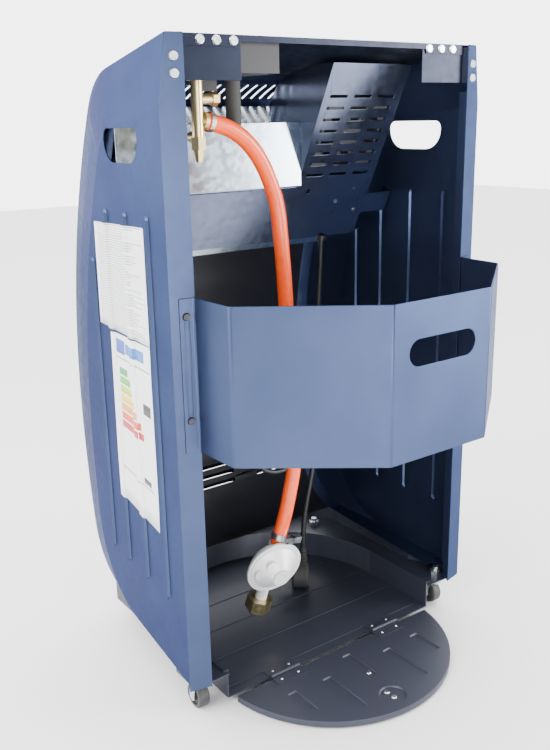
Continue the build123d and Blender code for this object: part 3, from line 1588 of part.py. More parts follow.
plug_centre = pan_floor_height + pan_rib_rise + plug_radius + seat
relief_foot = plug_centre + plug_radius - 2
pin_way = Vector(cos(radians(plug_heading)), -sin(radians(plug_heading)), 0)
plug_back = Plane(
    origin=place(plug_x, plug_depth, plug_centre) - pin_way * relief_set_back,
    x_dir=(-pin_way.Y, pin_way.X, 0),
    z_dir=pin_way,
)
relief_rings = 5
ring_pitch = (relief_top - relief_foot) / relief_rings
with BuildPart() as mains_plug:
    with BuildSketch(plug_back):
        Circle(plug_radius)
    extrude(amount=plug_thickness)
    fillet(mains_plug.edges().filter_by(GeomType.CIRCLE), 4)
    with BuildSketch(level(plug_centre)):
        with Locations((plug_x, -plug_depth)):
            Circle(relief_set_back - 1)
    extrude(amount=relief_foot - plug_centre)
    with BuildSketch(level(relief_foot)):
        with Locations((plug_x, -plug_depth)):
            Circle(5)
    extrude(amount=relief_top - relief_foot, taper=2)
    for ring in range(relief_rings):
        with BuildSketch(level(relief_foot + ring * ring_pitch)):
            with Locations((plug_x, -plug_depth)):
                Circle(6.4 - 0.35 * ring)
        extrude(amount=ring_pitch / 2)
    with BuildSketch(plug_back.offset(plug_thickness - 1)):
        with Locations((-pin_pitch / 2, 0), (pin_pitch / 2, 0)):
            Circle(pin_radius)
    extrude(amount=pin_length + 1)
finish(mains_plug, "mains_plug")
print("plug", mains_plug.part.is_valid, len(mains_plug.part.solids()))

# ---------------------------------------------------------------- gussets, rivets and screws of the frame
gusset_drop = 3.0
gusset_height = 38.0
gusset_top = cabinet_height - gusset_drop
gusset_foot = gusset_top - gusset_height
flange_turn = atan(post_set_back / post_width)


def inside_flange(x):
    """A point of the post flange's inner face, with the seating gap, as local X and depth axis."""
    return (x, flange_face(x) - (sheet + seat) / cos(flange_turn))


gusset_line = [
    (rail_end_start - 5, -sheet - seat),
    (rail_x + 1, -sheet - seat),
    inside_flange(post_inner_x + 1),
    inside_flange(cabinet_half_width - 12),
]
with BuildPart() as corner_gussets:
    with BuildSketch(level(gusset_foot)):
        with BuildLine():
            Polyline(*gusset_line)
            offset(amount=sheet, side=Side.RIGHT)
        make_face()
    extrude(amount=gusset_height)
    mirror(about=Plane.YZ)
finish(corner_gussets, "corner_gussets")
print("gussets", corner_gussets.part.is_valid, len(corner_gussets.part.solids()))

rivet_line = rail_top - rail_end_depth / 2
frame_head_radius = 4.8
frame_head_rise = 1.8
with BuildPart() as rivets:
    for margin in rail_rivet_margins:
        x = cabinet_half_width - margin
        with BuildSketch(upright(-seat)):
            with Locations((x, rivet_line), (-x, rivet_line)):
                Circle(frame_head_radius)
        extrude(amount=-frame_head_rise, taper=25)
        with BuildSketch(upright(-seat)):
            with Locations((x, rivet_line), (-x, rivet_line)):
                Circle(screw_radius)
        extrude(amount=sheet + seat)
    for height in post_rivet_heights:
        for side in (1, -1):
            with BuildSketch(post_plane(post_screw_x, height, side).offset(seat)):
                Circle(frame_head_radius)
            extrude(amount=frame_head_rise, taper=25)
    fixed_spots = [(x, y - hinge_rivet_reach) for x, y in hinge_rivets]
    add(rivet_heads(fixed_spots, leaf_height + leaf_sheet, hinge_rivet_radius))
finish(rivets, "rivets")
print("rivets", rivets.part.is_valid, len(rivets.part.solids()))

head_radius = 4.2
head_height = 2.2
with BuildPart() as band_screws:
    for height in band_screw_heights:
        for side in (1, -1):
            seat_plane = post_plane(post_screw_x, height, side).offset(band_sheet + 2 * seat)
            with BuildSketch(seat_plane):
                Circle(head_radius)
            extrude(amount=head_height, taper=20)
            with BuildSketch(seat_plane):
                Circle(screw_radius)
            extrude(amount=-band_sheet - sheet - 4)
finish(band_screws, "band_screws")
print("screws", band_screws.part.is_valid, len(band_screws.part.solids()))
print("pieces written", len(os.listdir("parts")))
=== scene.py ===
# %% [markdown]
# # A gas cabinet heater seen from its open back
# The sheet-metal cabinet, its casters and its valve already exist as exact solids. This file
# loads them as a fixed frame and gives them their looks: coats, cords, paper labels and the
# pressed hoods over the louvres. Everything is in metres, in the frame's own axes.

# %% Load the frame
import bpy
import numpy as np
from mathutils import Matrix, Vector


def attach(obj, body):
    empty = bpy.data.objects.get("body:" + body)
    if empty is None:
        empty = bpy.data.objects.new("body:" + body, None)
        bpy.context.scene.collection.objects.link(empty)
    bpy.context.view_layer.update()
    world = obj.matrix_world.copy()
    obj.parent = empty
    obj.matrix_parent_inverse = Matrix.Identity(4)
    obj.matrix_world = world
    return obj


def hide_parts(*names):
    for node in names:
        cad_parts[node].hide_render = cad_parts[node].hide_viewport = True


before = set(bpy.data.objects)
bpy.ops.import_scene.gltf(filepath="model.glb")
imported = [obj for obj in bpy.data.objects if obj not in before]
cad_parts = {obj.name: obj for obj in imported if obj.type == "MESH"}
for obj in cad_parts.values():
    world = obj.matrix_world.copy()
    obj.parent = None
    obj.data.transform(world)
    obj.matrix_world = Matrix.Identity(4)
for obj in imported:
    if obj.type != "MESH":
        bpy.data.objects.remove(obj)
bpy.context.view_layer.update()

# %% [markdown]
# ## Where things are
# The maker's drawing counts heights from the post feet and depths from the open back, in
# millimetres. One short function turns such a place into the frame's metres, so that every
# number below can be read off the drawing. The side panels lean in a little towards the front.

# %% Places
REAR = 0.0715                 # the rear plane's Y, in metres
FEET = 0.043                  # the post feet's Z, in metres
SIDE_REACH = 212.0            # half the cabinet's width at its back, in mm
SIDE_FALL = 0.06              # share of the depth by which each side comes in


def place(x, depth, height):
    """A point of the cabinet in metres: x, depth from the back and height over the feet, in mm."""
    return np.array([x / 1000, REAR - depth / 1000, FEET + height / 1000])


print("rear plane", REAR, "feet", FEET)

# %% [markdown]
# ## The camera
# The photograph looks into the open back from the heater's upper right. A camera could be
# aimed by eye with two angles, but fitting the straight edges of the cabinet gave the place of
# the lens and its three axes, so here it is set exactly, by a matrix.

# %% Camera
LENS_PLACE = (0.61151, 0.80023, 0.64681)
LENS_RIGHT = (-0.8091, 0.5873, -0.0193)
LENS_UP = (-0.1802, -0.2169, 0.9594)
LENS_BACK = (0.5593, 0.7798, 0.2813)
FOCAL_LENGTH = 41.91          # in mm, for the 36 mm sensor
SENSOR_WIDTH = 36.0

lens = bpy.data.cameras.new("lens")
lens.lens = FOCAL_LENGTH
lens.sensor_width = SENSOR_WIDTH
camera = bpy.data.objects.new("camera", lens)
bpy.context.scene.collection.objects.link(camera)
turn = Matrix((LENS_RIGHT, LENS_UP, LENS_BACK)).transposed()
camera.matrix_world = Matrix.Translation(LENS_PLACE) @ turn.to_4x4()
bpy.context.scene.camera = camera
print("camera at", LENS_PLACE, "lens", lens.lens)

# %% [markdown]
# ## Finishes: a small kit of node graphs
# Real coats are never flat. Each finish below starts as a plain shader and gets two layers of
# noise: a fine one that lifts the surface as a bump, and a broad one that shifts roughness and
# shade a little. An image could do the same, but noise on the object's own coordinates has no
# seams and stays sharp at any distance. Values that are the same all over are set straight on
# the shader's sockets.


# %% Finish kit
def finish_named(name, colour, roughness, metallic=0.0, coat=0.0):
    """A new material with its main shader set; returns (material, nodes, links, shader)."""
    finish = bpy.data.materials.new(name)
    finish.use_nodes = True
    nodes = finish.node_tree.nodes
    shader = nodes["Principled BSDF"]
    shader.inputs["Base Color"].default_value = (*colour, 1.0)
    shader.inputs["Roughness"].default_value = roughness
    shader.inputs["Metallic"].default_value = metallic
    shader.inputs["Coat Weight"].default_value = coat
    shader.inputs["Coat Roughness"].default_value = 0.12
    finish.diffuse_color = (*colour, 1.0)
    return finish, nodes, finish.node_tree.links, shader


def noise_of(nodes, links, scale, detail):
    """Noise on the object's own coordinates: scale in waves per metre, detail in finer layers."""
    coordinates = nodes.new("ShaderNodeTexCoord")
    noise = nodes.new("ShaderNodeTexNoise")
    noise.inputs["Scale"].default_value = scale
    noise.inputs["Detail"].default_value = detail
    links.new(coordinates.outputs["Object"], noise.inputs["Vector"])
    return noise


def bumped(nodes, links, shader, texture, strength, height):
    """Lifts the surface by a texture: strength from 0 to 1, height in metres."""
    bump = nodes.new("ShaderNodeBump")
    bump.inputs["Strength"].default_value = strength
    bump.inputs["Distance"].default_value = height
    links.new(texture.outputs[0], bump.inputs["Height"])
    links.new(bump.outputs["Normal"], shader.inputs["Normal"])


def spread(nodes, links, texture, low, high, socket):
    """Maps a texture's 0.3 to 0.7 onto low to high and feeds the socket."""
    ramp = nodes.new("ShaderNodeMapRange")
    ramp.inputs["From Min"].default_value = 0.3
    ramp.inputs["From Max"].default_value = 0.7
    ramp.inputs["To Min"].default_value = low
    ramp.inputs["To Max"].default_value = high
    links.new(texture.outputs[0], ramp.inputs["Value"])
    links.new(ramp.outputs["Result"], socket)


def tinted(nodes, links, texture, dark, light, socket):
    """Blends two colours by a texture and feeds the socket."""
    ramp = nodes.new("ShaderNodeValToRGB")
    ramp.color_ramp.elements[0].position = 0.32
    ramp.color_ramp.elements[0].color = (*dark, 1.0)
    ramp.color_ramp.elements[1].position = 0.68
    ramp.color_ramp.elements[1].color = (*light, 1.0)
    links.new(texture.outputs[0], ramp.inputs["Fac"])
    links.new(ramp.outputs["Color"], socket)


print("finish kit ready")

# %% [markdown]
# ## Powder coat
# The cabinet wears a blue-grey powder coat: a thin skin of melted plastic with a fine orange
# peel and a metallic sheen. A plain paint shader looks chalky beside it, so the blue coats are
# mostly metal under a thin clear layer, and a dark tint keeps them from flaring where they are
# seen at a flat angle. The roof and the corner gussets get a near-black coat that is painted
# shade: it is darker than the slate coat they wear, and stands for the shade they sit in. The
# guard is lighter and glossier.

# %% Powder coats
EDGE_TINT = (0.22, 0.26, 0.38)
CLEAR_LAYER = 0.06
CLEAR_ROUGHNESS = 0.25
PEEL_HEIGHT = 0.0006


def powder_coat(name, dark, light, roughness, metallic, peel):
    """Coat with fine peel, a broad drift of shade and of roughness."""
    finish, nodes, links, shader = finish_named(name, light, roughness, metallic, CLEAR_LAYER)
    shader.inputs["Coat Roughness"].default_value = CLEAR_ROUGHNESS
    shader.inputs["Specular Tint"].default_value = (*EDGE_TINT, 1.0)
    fine = noise_of(nodes, links, 650.0, 3.0)
    bumped(nodes, links, shader, fine, peel, PEEL_HEIGHT)
    broad = noise_of(nodes, links, 14.0, 6.0)
    tinted(nodes, links, broad, dark, light, shader.inputs["Base Color"])
    spread(nodes, links, noise_of(nodes, links, 90.0, 5.0), roughness - 0.05, roughness + 0.06,
           shader.inputs["Roughness"])
    return finish


slate_coat = powder_coat("slate_coat", (0.043, 0.060, 0.122), (0.052, 0.072, 0.142),
                         0.36, 0.85, 0.08)
# Painted shade: a near-black coat for the roof and the gussets, darker than their real slate coat.
shade_painted_coat = powder_coat("shade_painted_coat", (0.008, 0.010, 0.020), (0.012, 0.015, 0.028),
                         0.34, 0.40, 0.08)
black_coat = powder_coat("black_coat", (0.003, 0.003, 0.004), (0.006, 0.006, 0.007),
                         0.16, 0.10, 0.03)
guard_coat = powder_coat("guard_coat", (0.120, 0.138, 0.205), (0.145, 0.165, 0.235),
                         0.20, 0.95, 0.04)
print("coats", [m.name for m in (slate_coat, shade_painted_coat, black_coat, guard_coat)])

# %% [markdown]
# ## Bare metals
# Galvanised sheet shows a faint pattern of zinc crystals, the regulator's nut is yellow brass,
# the rivets are zinc plated and the band's screws are dark steel. A single grey metal would
# make them all look alike. Cells of a Voronoi texture stand for the crystals here, and the
# other metals get a fine, even noise.


# %% Metals
METAL_RELIEF = 0.06


def bare_metal(name, dark, light, roughness, grain):
    """Metal whose shade and gloss follow one noise, and whose relief follows one three times as fine."""
    finish, nodes, links, shader = finish_named(name, light, roughness, 1.0)
    texture = noise_of(nodes, links, grain, 6.0)
    tinted(nodes, links, texture, dark, light, shader.inputs["Base Color"])
    spread(nodes, links, texture, roughness * 0.8, roughness * 1.3, shader.inputs["Roughness"])
    bumped(nodes, links, shader, noise_of(nodes, links, grain * 3, 3.0), METAL_RELIEF, 0.0004)
    return finish


def galvanised(name):
    """Zinc crystals: cells of slightly different shade and gloss over rolled sheet."""
    finish, nodes, links, shader = finish_named(name, (0.72, 0.76, 0.79), 0.2, 1.0)
    coordinates = nodes.new("ShaderNodeTexCoord")
    cells = nodes.new("ShaderNodeTexVoronoi")
    cells.inputs["Scale"].default_value = 160.0
    links.new(coordinates.outputs["Object"], cells.inputs["Vector"])
    grey = nodes.new("ShaderNodeRGBToBW")
    links.new(cells.outputs["Color"], grey.inputs["Color"])
    tinted(nodes, links, grey, (0.36, 0.42, 0.48), (0.41, 0.47, 0.53), shader.inputs["Base Color"])
    spread(nodes, links, grey, 0.17, 0.21, shader.inputs["Roughness"])
    bumped(nodes, links, shader, noise_of(nodes, links, 12.0, 2.0), 0.05, 0.002)
    return finish


zinc_sheet = galvanised("zinc_sheet")
zinc_plate = bare_metal("zinc_plate", (0.50, 0.52, 0.55), (0.72, 0.73, 0.74), 0.30, 160.0)
yellow_brass = bare_metal("yellow_brass", (0.52, 0.42, 0.20), (0.70, 0.60, 0.34), 0.33, 180.0)
dark_steel = bare_metal("dark_steel", (0.03, 0.03, 0.035), (0.07, 0.07, 0.08), 0.35, 200.0)
print("metals", [m.name for m in (zinc_sheet, zinc_plate, yellow_brass, dark_steel)])

# %% [markdown]
# ## Rubber and ceramic
# The hose is a glossy orange rubber, the lead is black and less shiny, the tyres are duller
# still, and the burner's plaques are a porous cream ceramic. They differ in colour, gloss and
# grain alone, so one function makes them all, and later the printing inks too.

# %% Rubber and ceramic
def moulded(name, dark, light, roughness, grain, relief=0.1, coat=0.0):
    """Surface without metal: its shade follows one noise, its relief one four times as fine."""
    finish, nodes, links, shader = finish_named(name, light, roughness, 0.0, coat)
    texture = noise_of(nodes, links, grain, 5.0)
    tinted(nodes, links, texture, dark, light, shader.inputs["Base Color"])
    bumped(nodes, links, shader, noise_of(nodes, links, grain * 4, 3.0), relief, 0.0005)
    return finish


orange_hose = moulded("orange_hose", (0.86, 0.070, 0.002), (0.95, 0.095, 0.004), 0.34, 120.0, 0.05, 0.25)
black_rubber = moulded("black_rubber", (0.012, 0.012, 0.013), (0.020, 0.020, 0.022), 0.42, 200.0, 0.08)
tyre_rubber = moulded("tyre_rubber", (0.020, 0.020, 0.022), (0.045, 0.045, 0.048), 0.55, 140.0, 0.15)
cream_ceramic = moulded("cream_ceramic", (0.62, 0.56, 0.43), (0.80, 0.75, 0.62), 0.85, 220.0, 0.5)
print("others", [m.name for m in (orange_hose, black_rubber, tyre_rubber, cream_ceramic)])

# %% [markdown]
# ## Cords first
# A hose and a lead are lengths of something flexible. Each is a smooth curve whose control
# points are the corners of the drawing's route: the order is set after the points are added,
# because before that the curve would stay a chain of straight runs.


# %% Cord maker
def hung_cord(name, corners, radius, finish):
    """A round cord: a NURBS line of order 3 through the route, swept with a circle."""
    line = bpy.data.curves.new(name, "CURVE")
    line.dimensions = "3D"
    line.bevel_depth = radius
    line.bevel_resolution = 6
    line.resolution_u = 12
    line.use_fill_caps = True
    spline = line.splines.new("NURBS")
    spline.points.add(len(corners) - 1)
    spline.points.foreach_set("co", np.c_[np.array(corners), np.ones(len(corners))].ravel())
    spline.order_u = 3
    spline.use_endpoint_u = True
    line.materials.append(finish)
    cord = bpy.data.objects.new(name, line)
    bpy.context.scene.collection.objects.link(cord)
    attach(cord, "cabinet")
    return cord


print("cord maker ready")

# %% [markdown]
# ## The gas hose
# It leaves the valve nearly level, bends down behind the band and hangs a little forward into
# the regulator. Its first and last corners lie on the fittings' own axes, so that the rubber
# runs straight out of each clamp.

# %% Gas hose
HOSE_RADIUS = 0.0085
HOSE_FALL = np.radians(11.0)
OUTLET = np.array([150.0, 36.0, 604.8])
OUTLET_WAY = np.array([-np.cos(HOSE_FALL), 0.0, -np.sin(HOSE_FALL)])
OUTLET_REACH = 9.55           # from the valve's axis to the hose's first corner
STRAIGHT_RUN = 14.0
HOSE_END = np.array([51.2, 55.0, 108.9])
LAST_RUN = 38.0
SIDE_HANG = np.tan(np.radians(6.8))
FRONT_HANG = np.tan(np.radians(16.6))
GAS_WAY = np.array([SIDE_HANG, FRONT_HANG, -1.0])
GAS_WAY = GAS_WAY / np.linalg.norm(GAS_WAY)

hose_corners = [
    place(*(OUTLET + OUTLET_REACH * OUTLET_WAY)),
    place(*(OUTLET + (OUTLET_REACH + STRAIGHT_RUN) * OUTLET_WAY)),
    place(109.3, 36, 593.9),
    place(92.5, 36, 582.8),
    place(77.2, 36.4, 566),
    place(63.9, 37, 541.9),
    place(54, 37.6, 515),
    place(50, 38.2, 480),
    place(45.6, 39, 435),
    place(42.2, 39.5, 380),
    place(40.6, 39.5, 300),
    place(33.5, 38.5, 218),
    place(43.6, 39.3, 174),
    place(*(HOSE_END - LAST_RUN * GAS_WAY)),
    place(*HOSE_END),
]
hose = hung_cord("gas_hose_rubber", hose_corners, HOSE_RADIUS, orange_hose)
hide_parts("gas_hose")
print("hose corners", len(hose_corners))

# %% [markdown]
# ## The mains lead
# It drops from the guard, makes one slack loop behind the band, held by a tie where it crosses
# itself, and ends in its plug on the pan. The loop is eight corners on a circle that also steps
# back, so the two strands pass beside each other.

# %% Mains lead
LEAD_RADIUS = 0.0035
LOOP_X = -25.0
LOOP_HEIGHT = 205.0
LOOP_CORNER_RADIUS = 56.2
LOOP_FRONT = 150
LOOP_STEP = 10
LOOP_CORNERS = np.arange(8)
around = np.radians(22.5 + 45 * LOOP_CORNERS)
loop_x = LOOP_X - LOOP_CORNER_RADIUS * np.cos(around)
loop_depth = LOOP_FRONT - LOOP_STEP * LOOP_CORNERS / LOOP_CORNERS[-1]
loop_height = LOOP_HEIGHT - LOOP_CORNER_RADIUS * np.sin(around)
lead_corners = [
    place(-104, 160, 451.5),
    place(-102, 160, 415),
    place(-97.5, 159, 362),
    place(-89.5, 156, 302),
    place(-79.5, 152, 240),
    *[place(*spot) for spot in zip(loop_x, loop_depth, loop_height)],
    place(-77.5, 139.5, 187),
    place(-73, 143, 140),
    place(-64.5, 147, 92),
    place(-60, 148, 56),
    place(-60, 148, 30.05),
]
lead = hung_cord("mains_lead_jacket", lead_corners, LEAD_RADIUS, black_rubber)
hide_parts("mains_lead")
print("lead corners", len(lead_corners))

# %% [markdown]
# ## From arrays to pieces
# The labels and the hoods are sheets over a grid of two parameters, so one function numbers
# the grid's quads and another turns any such surfaces into one object. Working on whole arrays
# is quicker and easier to read than adding one corner at a time.

# %% Mesh makers
def grid_quads(across, upward):
    """Quads of a grid whose point (i, j) is number i times upward plus j; all turn the same way."""
    i, j = np.meshgrid(np.arange(across - 1), np.arange(upward - 1), indexing="ij")
    start = i * upward + j
    return np.stack([start, start + 1, start + upward + 1, start + upward], axis=-1).reshape(-1, 4)


def in_frame(x, depth, height):
    """Grid arrays of x, depth and height in mm as rows of points in the frame's metres."""
    return np.stack([x / 1000, REAR - depth / 1000, FEET + height / 1000], axis=-1).reshape(-1, 3)


def new_piece(name, shells, finish, body):
    """One smooth mesh object from several (points, quads) shells, riding on a body."""
    points, quads, start = [], [], 0
    for shell_points, shell_quads in shells:
        points.append(shell_points)
        quads.extend((shell_quads + start).tolist())
        start += len(shell_points)
    mesh = bpy.data.meshes.new(name)
    mesh.from_pydata(np.concatenate(points).tolist(), [], quads)
    mesh.polygons.foreach_set("use_smooth", [True] * len(mesh.polygons))
    mesh.materials.append(finish)
    piece = bpy.data.objects.new(name, mesh)
    bpy.context.scene.collection.objects.link(piece)
    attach(piece, body)
    return piece


print("a 3 by 2 grid has", len(grid_quads(3, 2)), "quads")

# %% [markdown]
# ## Dressing the solids
# Each solid keeps its place and shape and only takes a finish, so one table of finishes and
# names is enough. The frame brings plain finishes of its own, one flat colour each, and the
# last seven rows take those by name. A lookup by name finds the frame's finish even where one
# of the same name was made above, as with the black coat that only the louvre hoods wear, so
# the finishes made here go in by their variables.

# %% Solids and their finishes
CORNERS = ("rear_right", "rear_left", "front_right", "front_left")
frame_finishes = bpy.data.materials
solids_by_finish = [
    (slate_coat, ["side_panel_right", "side_panel_left", "retaining_band", "front_shell"]),
    # The roof and the gussets take the near-black coat, which paints the shade they sit in.
    (shade_painted_coat, ["top_cover", "corner_gussets"]),
    (guard_coat, ["guard_bracket", "rear_guard"]),
    (zinc_sheet, ["heat_shield", "burner_housing", "reflector", "burner_brackets"]),
    (zinc_plate, ["plate_rivets", "caster_nuts", "guard_screws", "rivets", "supply_pipe", "hose_clamps",
                  *[f"caster_{part}_{corner}" for part in ("stem", "fork") for corner in CORNERS]]),
    (dark_steel, ["band_screws"]),
    (yellow_brass, ["regulator_nut"]),
    (cream_ceramic, ["ceramic_plaques"]),
    (black_rubber, ["lead_grommet"]),
    (tyre_rubber, [f"caster_wheel_{corner}" for corner in CORNERS]),
    (frame_finishes["navy_coat"], ["base_plate", "bottle_pan", "fold_down_plate", "hinge_fixed_leaves",
                                   "hinge_moving_leaves", "hinge_pins"]),
    (frame_finishes["black_coat"], ["lower_front_panel", "control_panel"]),
    (frame_finishes["brass"], ["gas_manifold", "gas_valve", "valve_spindle"]),
    (frame_finishes["bright_wire"], ["wire_guard"]),
    (frame_finishes["white_enamel"], ["regulator"]),
    (frame_finishes["black_plastic"], ["plate_foot", "fan_frame", "fan_rotor", "control_knob",
                                       "piezo_igniter", "fan_switch", "fan_switch_rocker",
                                       "mains_plug", "lead_tie"]),
    (frame_finishes["red_plastic"], ["piezo_button"]),
]
for finish, names in solids_by_finish:
    for node_name in names:
        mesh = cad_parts[node_name].data
        mesh.materials.clear()
        mesh.materials.append(finish)
print("solids dressed", sum(len(names) for _, names in solids_by_finish), "of", len(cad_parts))

# %% [markdown]
# ## Rounded sheet edges
# Pressed sheet never has a knife edge, and a thin bright line along each bend is what makes it
# look like sheet. The solids' triangles arrive loose, so a weld joins them first, and a live
# bevel then rounds only the sharp edges and keeps the flats flat.

# %% Sheet edges
WELD_REACH = 0.00001
EDGE_ROUND = 0.0005
SHARP_ANGLE = 35.0
SHEET_NODES = ("side_panel_right", "side_panel_left", "retaining_band", "top_cover", "front_shell",
               "lower_front_panel", "base_plate", "bottle_pan", "fold_down_plate", "rear_guard",
               "heat_shield", "control_panel", "corner_gussets")
for node_name in SHEET_NODES:
    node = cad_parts[node_name]
    weld = node.modifiers.new("weld", "WELD")
    weld.merge_threshold = WELD_REACH
    bevel = node.modifiers.new("edges", "BEVEL")
    bevel.width = EDGE_ROUND
    bevel.segments = 2
    bevel.limit_method = "ANGLE"
    bevel.angle_limit = np.radians(SHARP_ANGLE)
    bevel.harden_normals = True
print("sheet parts rounded", len(SHEET_NODES))

# %% [markdown]
# ## Labels on the side
# Two paper sheets are stuck on the outside of one panel, over its pressed ribs, so they bend
# over each rib. A flat card would float there or sink in. The sheet is a grid in depth and
# height instead, whose distance from the panel follows the rib's section.

# %% Label sheets
RIB_DEPTHS = np.array([44.0, 98.0, 150.0, 197.0])
RIB_TOPS = np.array([516.0, 516.0, 516.0, 458.0])
RIB_HALF = 6.5
PAPER_BRIDGE = 0.6            # the paper leaves the flat this far before each rib
RIB_SLOPE = 2.6
RIB_RISE = 2.5
PAPER_LIFT = 0.25
INK_LIFT = 0.2
PAPER_SHEET = 0.00015


def rib_lift(depth, height):
    """How far the pressed panel stands out: a smooth step up the flank of each rib, in mm."""
    inside = RIB_HALF + PAPER_BRIDGE - np.abs(depth[..., None] - RIB_DEPTHS)
    below = RIB_TOPS - height[..., None]
    step = np.clip(np.minimum(inside, below) / RIB_SLOPE, 0, 1)
    return RIB_RISE * np.max(step * step * (3 - 2 * step), axis=-1)


def spot_between(corners, u, v):
    """Depth and height at shares u to the front and v upwards, blended between four corners."""
    top_near, top_far, foot_far, foot_near = np.array(corners, float)
    u, v = np.asarray(u)[..., None], np.asarray(v)[..., None]
    return (1 - u) * (1 - v) * foot_near + u * (1 - v) * foot_far + (1 - u) * v * top_near + u * v * top_far


def stuck_sheet(name, corners, finish, lift, across, upward=12):
    """A sheet over the ribbed panel; its x is 212 - 0.06 depth + the rib's lift + the paper's own.

    Its print map runs from 0 to 1 to the front and upwards.
    """
    u, v = np.meshgrid(np.linspace(0, 1, across), np.linspace(0, 1, upward), indexing="ij")
    depth, height = np.moveaxis(spot_between(corners, u, v), -1, 0)
    x = SIDE_REACH - SIDE_FALL * depth + rib_lift(depth, height) + lift
    sheet = new_piece(name, [(in_frame(x, depth, height), grid_quads(across, upward))], finish, "cabinet")
    loops = np.empty(len(sheet.data.loops), dtype=np.int32)
    sheet.data.loops.foreach_get("vertex_index", loops)
    spread_out = np.stack([u.ravel(), v.ravel()], axis=-1)[loops]
    sheet.data.uv_layers.new(name="print").data.foreach_set("uv", spread_out.ravel())
    thick = sheet.modifiers.new("paper", "SOLIDIFY")
    thick.thickness = PAPER_SHEET
    thick.offset = 0
    return sheet


print("a rib lifts the paper by", float(rib_lift(np.array([98.0]), np.array([300.0]))[0]), "mm")

# %% [markdown]
# ## Grey rules
# One label is covered in fine grey rules of uneven length. They could be geometry, but forty
# hair-thin strips would shimmer, so the paper's shader draws them on the sheet's print map: the
# height times the number of rules gives each row, and a random number cuts that row short.
# The other label's paper is the same with no ink, because its print is patches of their own.

# %% Ruled paper
PAPER_COLOUR = (0.80, 0.81, 0.84)
INK_COLOUR = (0.10, 0.11, 0.13)
LINE_START = 0.25
SHORTEST_ROW = 0.55


def worked_out(nodes, links, operation, first, second=None):
    """A Math node on two values, each a socket or a plain number."""
    node = nodes.new("ShaderNodeMath")
    node.operation = operation
    for socket, value in zip(node.inputs, (first, second)):
        if isinstance(value, (int, float)):
            socket.default_value = value
        elif value is not None:
            links.new(value, socket)
    return node.outputs[0]


def share_of(nodes, links, value, low, high):
    """1 where a value lies between two limits, else 0."""
    over = worked_out(nodes, links, "GREATER_THAN", value, low)
    under = worked_out(nodes, links, "LESS_THAN", value, high)
    return worked_out(nodes, links, "MULTIPLY", over, under)


def ruled_paper(name, rules, margin, share, ink):
    """White paper with grey rules; share is a line's part of its row, ink its darkness, 0 to 1."""
    finish, nodes, links, shader = finish_named(name, PAPER_COLOUR, roughness=0.32, coat=0.15)
    print_map = nodes.new("ShaderNodeUVMap")
    print_map.uv_map = "print"
    axes = nodes.new("ShaderNodeSeparateXYZ")
    links.new(print_map.outputs["UV"], axes.inputs["Vector"])
    rows = worked_out(nodes, links, "MULTIPLY", axes.outputs["Y"], rules)
    within = worked_out(nodes, links, "FRACT", rows)
    line = share_of(nodes, links, within, LINE_START, LINE_START + share)
    seed = nodes.new("ShaderNodeTexWhiteNoise")
    seed.noise_dimensions = "1D"
    links.new(worked_out(nodes, links, "FLOOR", rows), seed.inputs["W"])
    reach = nodes.new("ShaderNodeMapRange")
    reach.inputs["To Min"].default_value = SHORTEST_ROW
    reach.inputs["To Max"].default_value = 1.0 - margin
    links.new(seed.outputs["Value"], reach.inputs["Value"])
    from_front = worked_out(nodes, links, "SUBTRACT", 1.0, axes.outputs["X"])
    short = worked_out(nodes, links, "LESS_THAN", from_front, reach.outputs["Result"])
    field = share_of(nodes, links, from_front, margin, 1.0 - margin)
    inked = worked_out(nodes, links, "MULTIPLY", line, short)
    shade = nodes.new("ShaderNodeMapRange")
    shade.inputs["To Max"].default_value = ink
    links.new(worked_out(nodes, links, "MULTIPLY", inked, field), shade.inputs["Value"])
    mixed = nodes.new("ShaderNodeMix")
    mixed.data_type = "RGBA"
    mixed.inputs["A"].default_value = (*PAPER_COLOUR, 1.0)
    mixed.inputs["B"].default_value = (*INK_COLOUR, 1.0)
    links.new(shade.outputs["Result"], mixed.inputs["Factor"])
    links.new(mixed.outputs["Result"], shader.inputs["Base Color"])
    bumped(nodes, links, shader, noise_of(nodes, links, 60.0, 3.0), 0.04, 0.0005)
    return finish


NOTICE_CORNERS = [(46, 503), (182, 499), (185, 384), (47, 381)]
LADDER_CORNERS = [(47, 380), (150, 380), (156, 181), (55, 170)]
notice_paper = ruled_paper("notice_paper", 44.0, margin=0.05, share=0.42, ink=0.62)
ladder_paper = ruled_paper("ladder_paper", 1.0, margin=0.5, share=0.0, ink=0.0)
notice = stuck_sheet("notice_sheet", NOTICE_CORNERS, notice_paper, PAPER_LIFT, across=110)
ladder = stuck_sheet("ladder_sheet", LADDER_CORNERS, ladder_paper, PAPER_LIFT, across=90)
print("label quads", len(notice.data.polygons), len(ladder.data.polygons))

# %% [markdown]
# ## A ladder of coloured bars
# That label has seven stepped bars from green to red, a blue head and a few plain blocks.
# Each is a thin patch of the same kind as the sheet below it, between two shares of the sheet's
# width and height, so it bends over the ribs with the paper.

# %% Coloured bars
BAR_COLOURS = [(0.0, 0.32, 0.07), (0.10, 0.45, 0.03), (0.45, 0.58, 0.01), (0.85, 0.62, 0.0),
               (0.80, 0.30, 0.01), (0.72, 0.08, 0.01), (0.55, 0.01, 0.01)]
BAR_FRONT = 0.86
BAR_TOP = 0.81
BAR_PITCH = 0.052
BAR_HEIGHT = 0.040
SHORTEST_BAR = 0.20
BAR_STEP = 0.06
BLUE_INK = (0.01, 0.06, 0.42)
LIGHT_BLUE_INK = (0.02, 0.17, 0.50)
BLACK_INK = (0.01, 0.01, 0.01)
GREY_INK = (0.20, 0.22, 0.25)
FIELD_INK = (0.03, 0.03, 0.04)


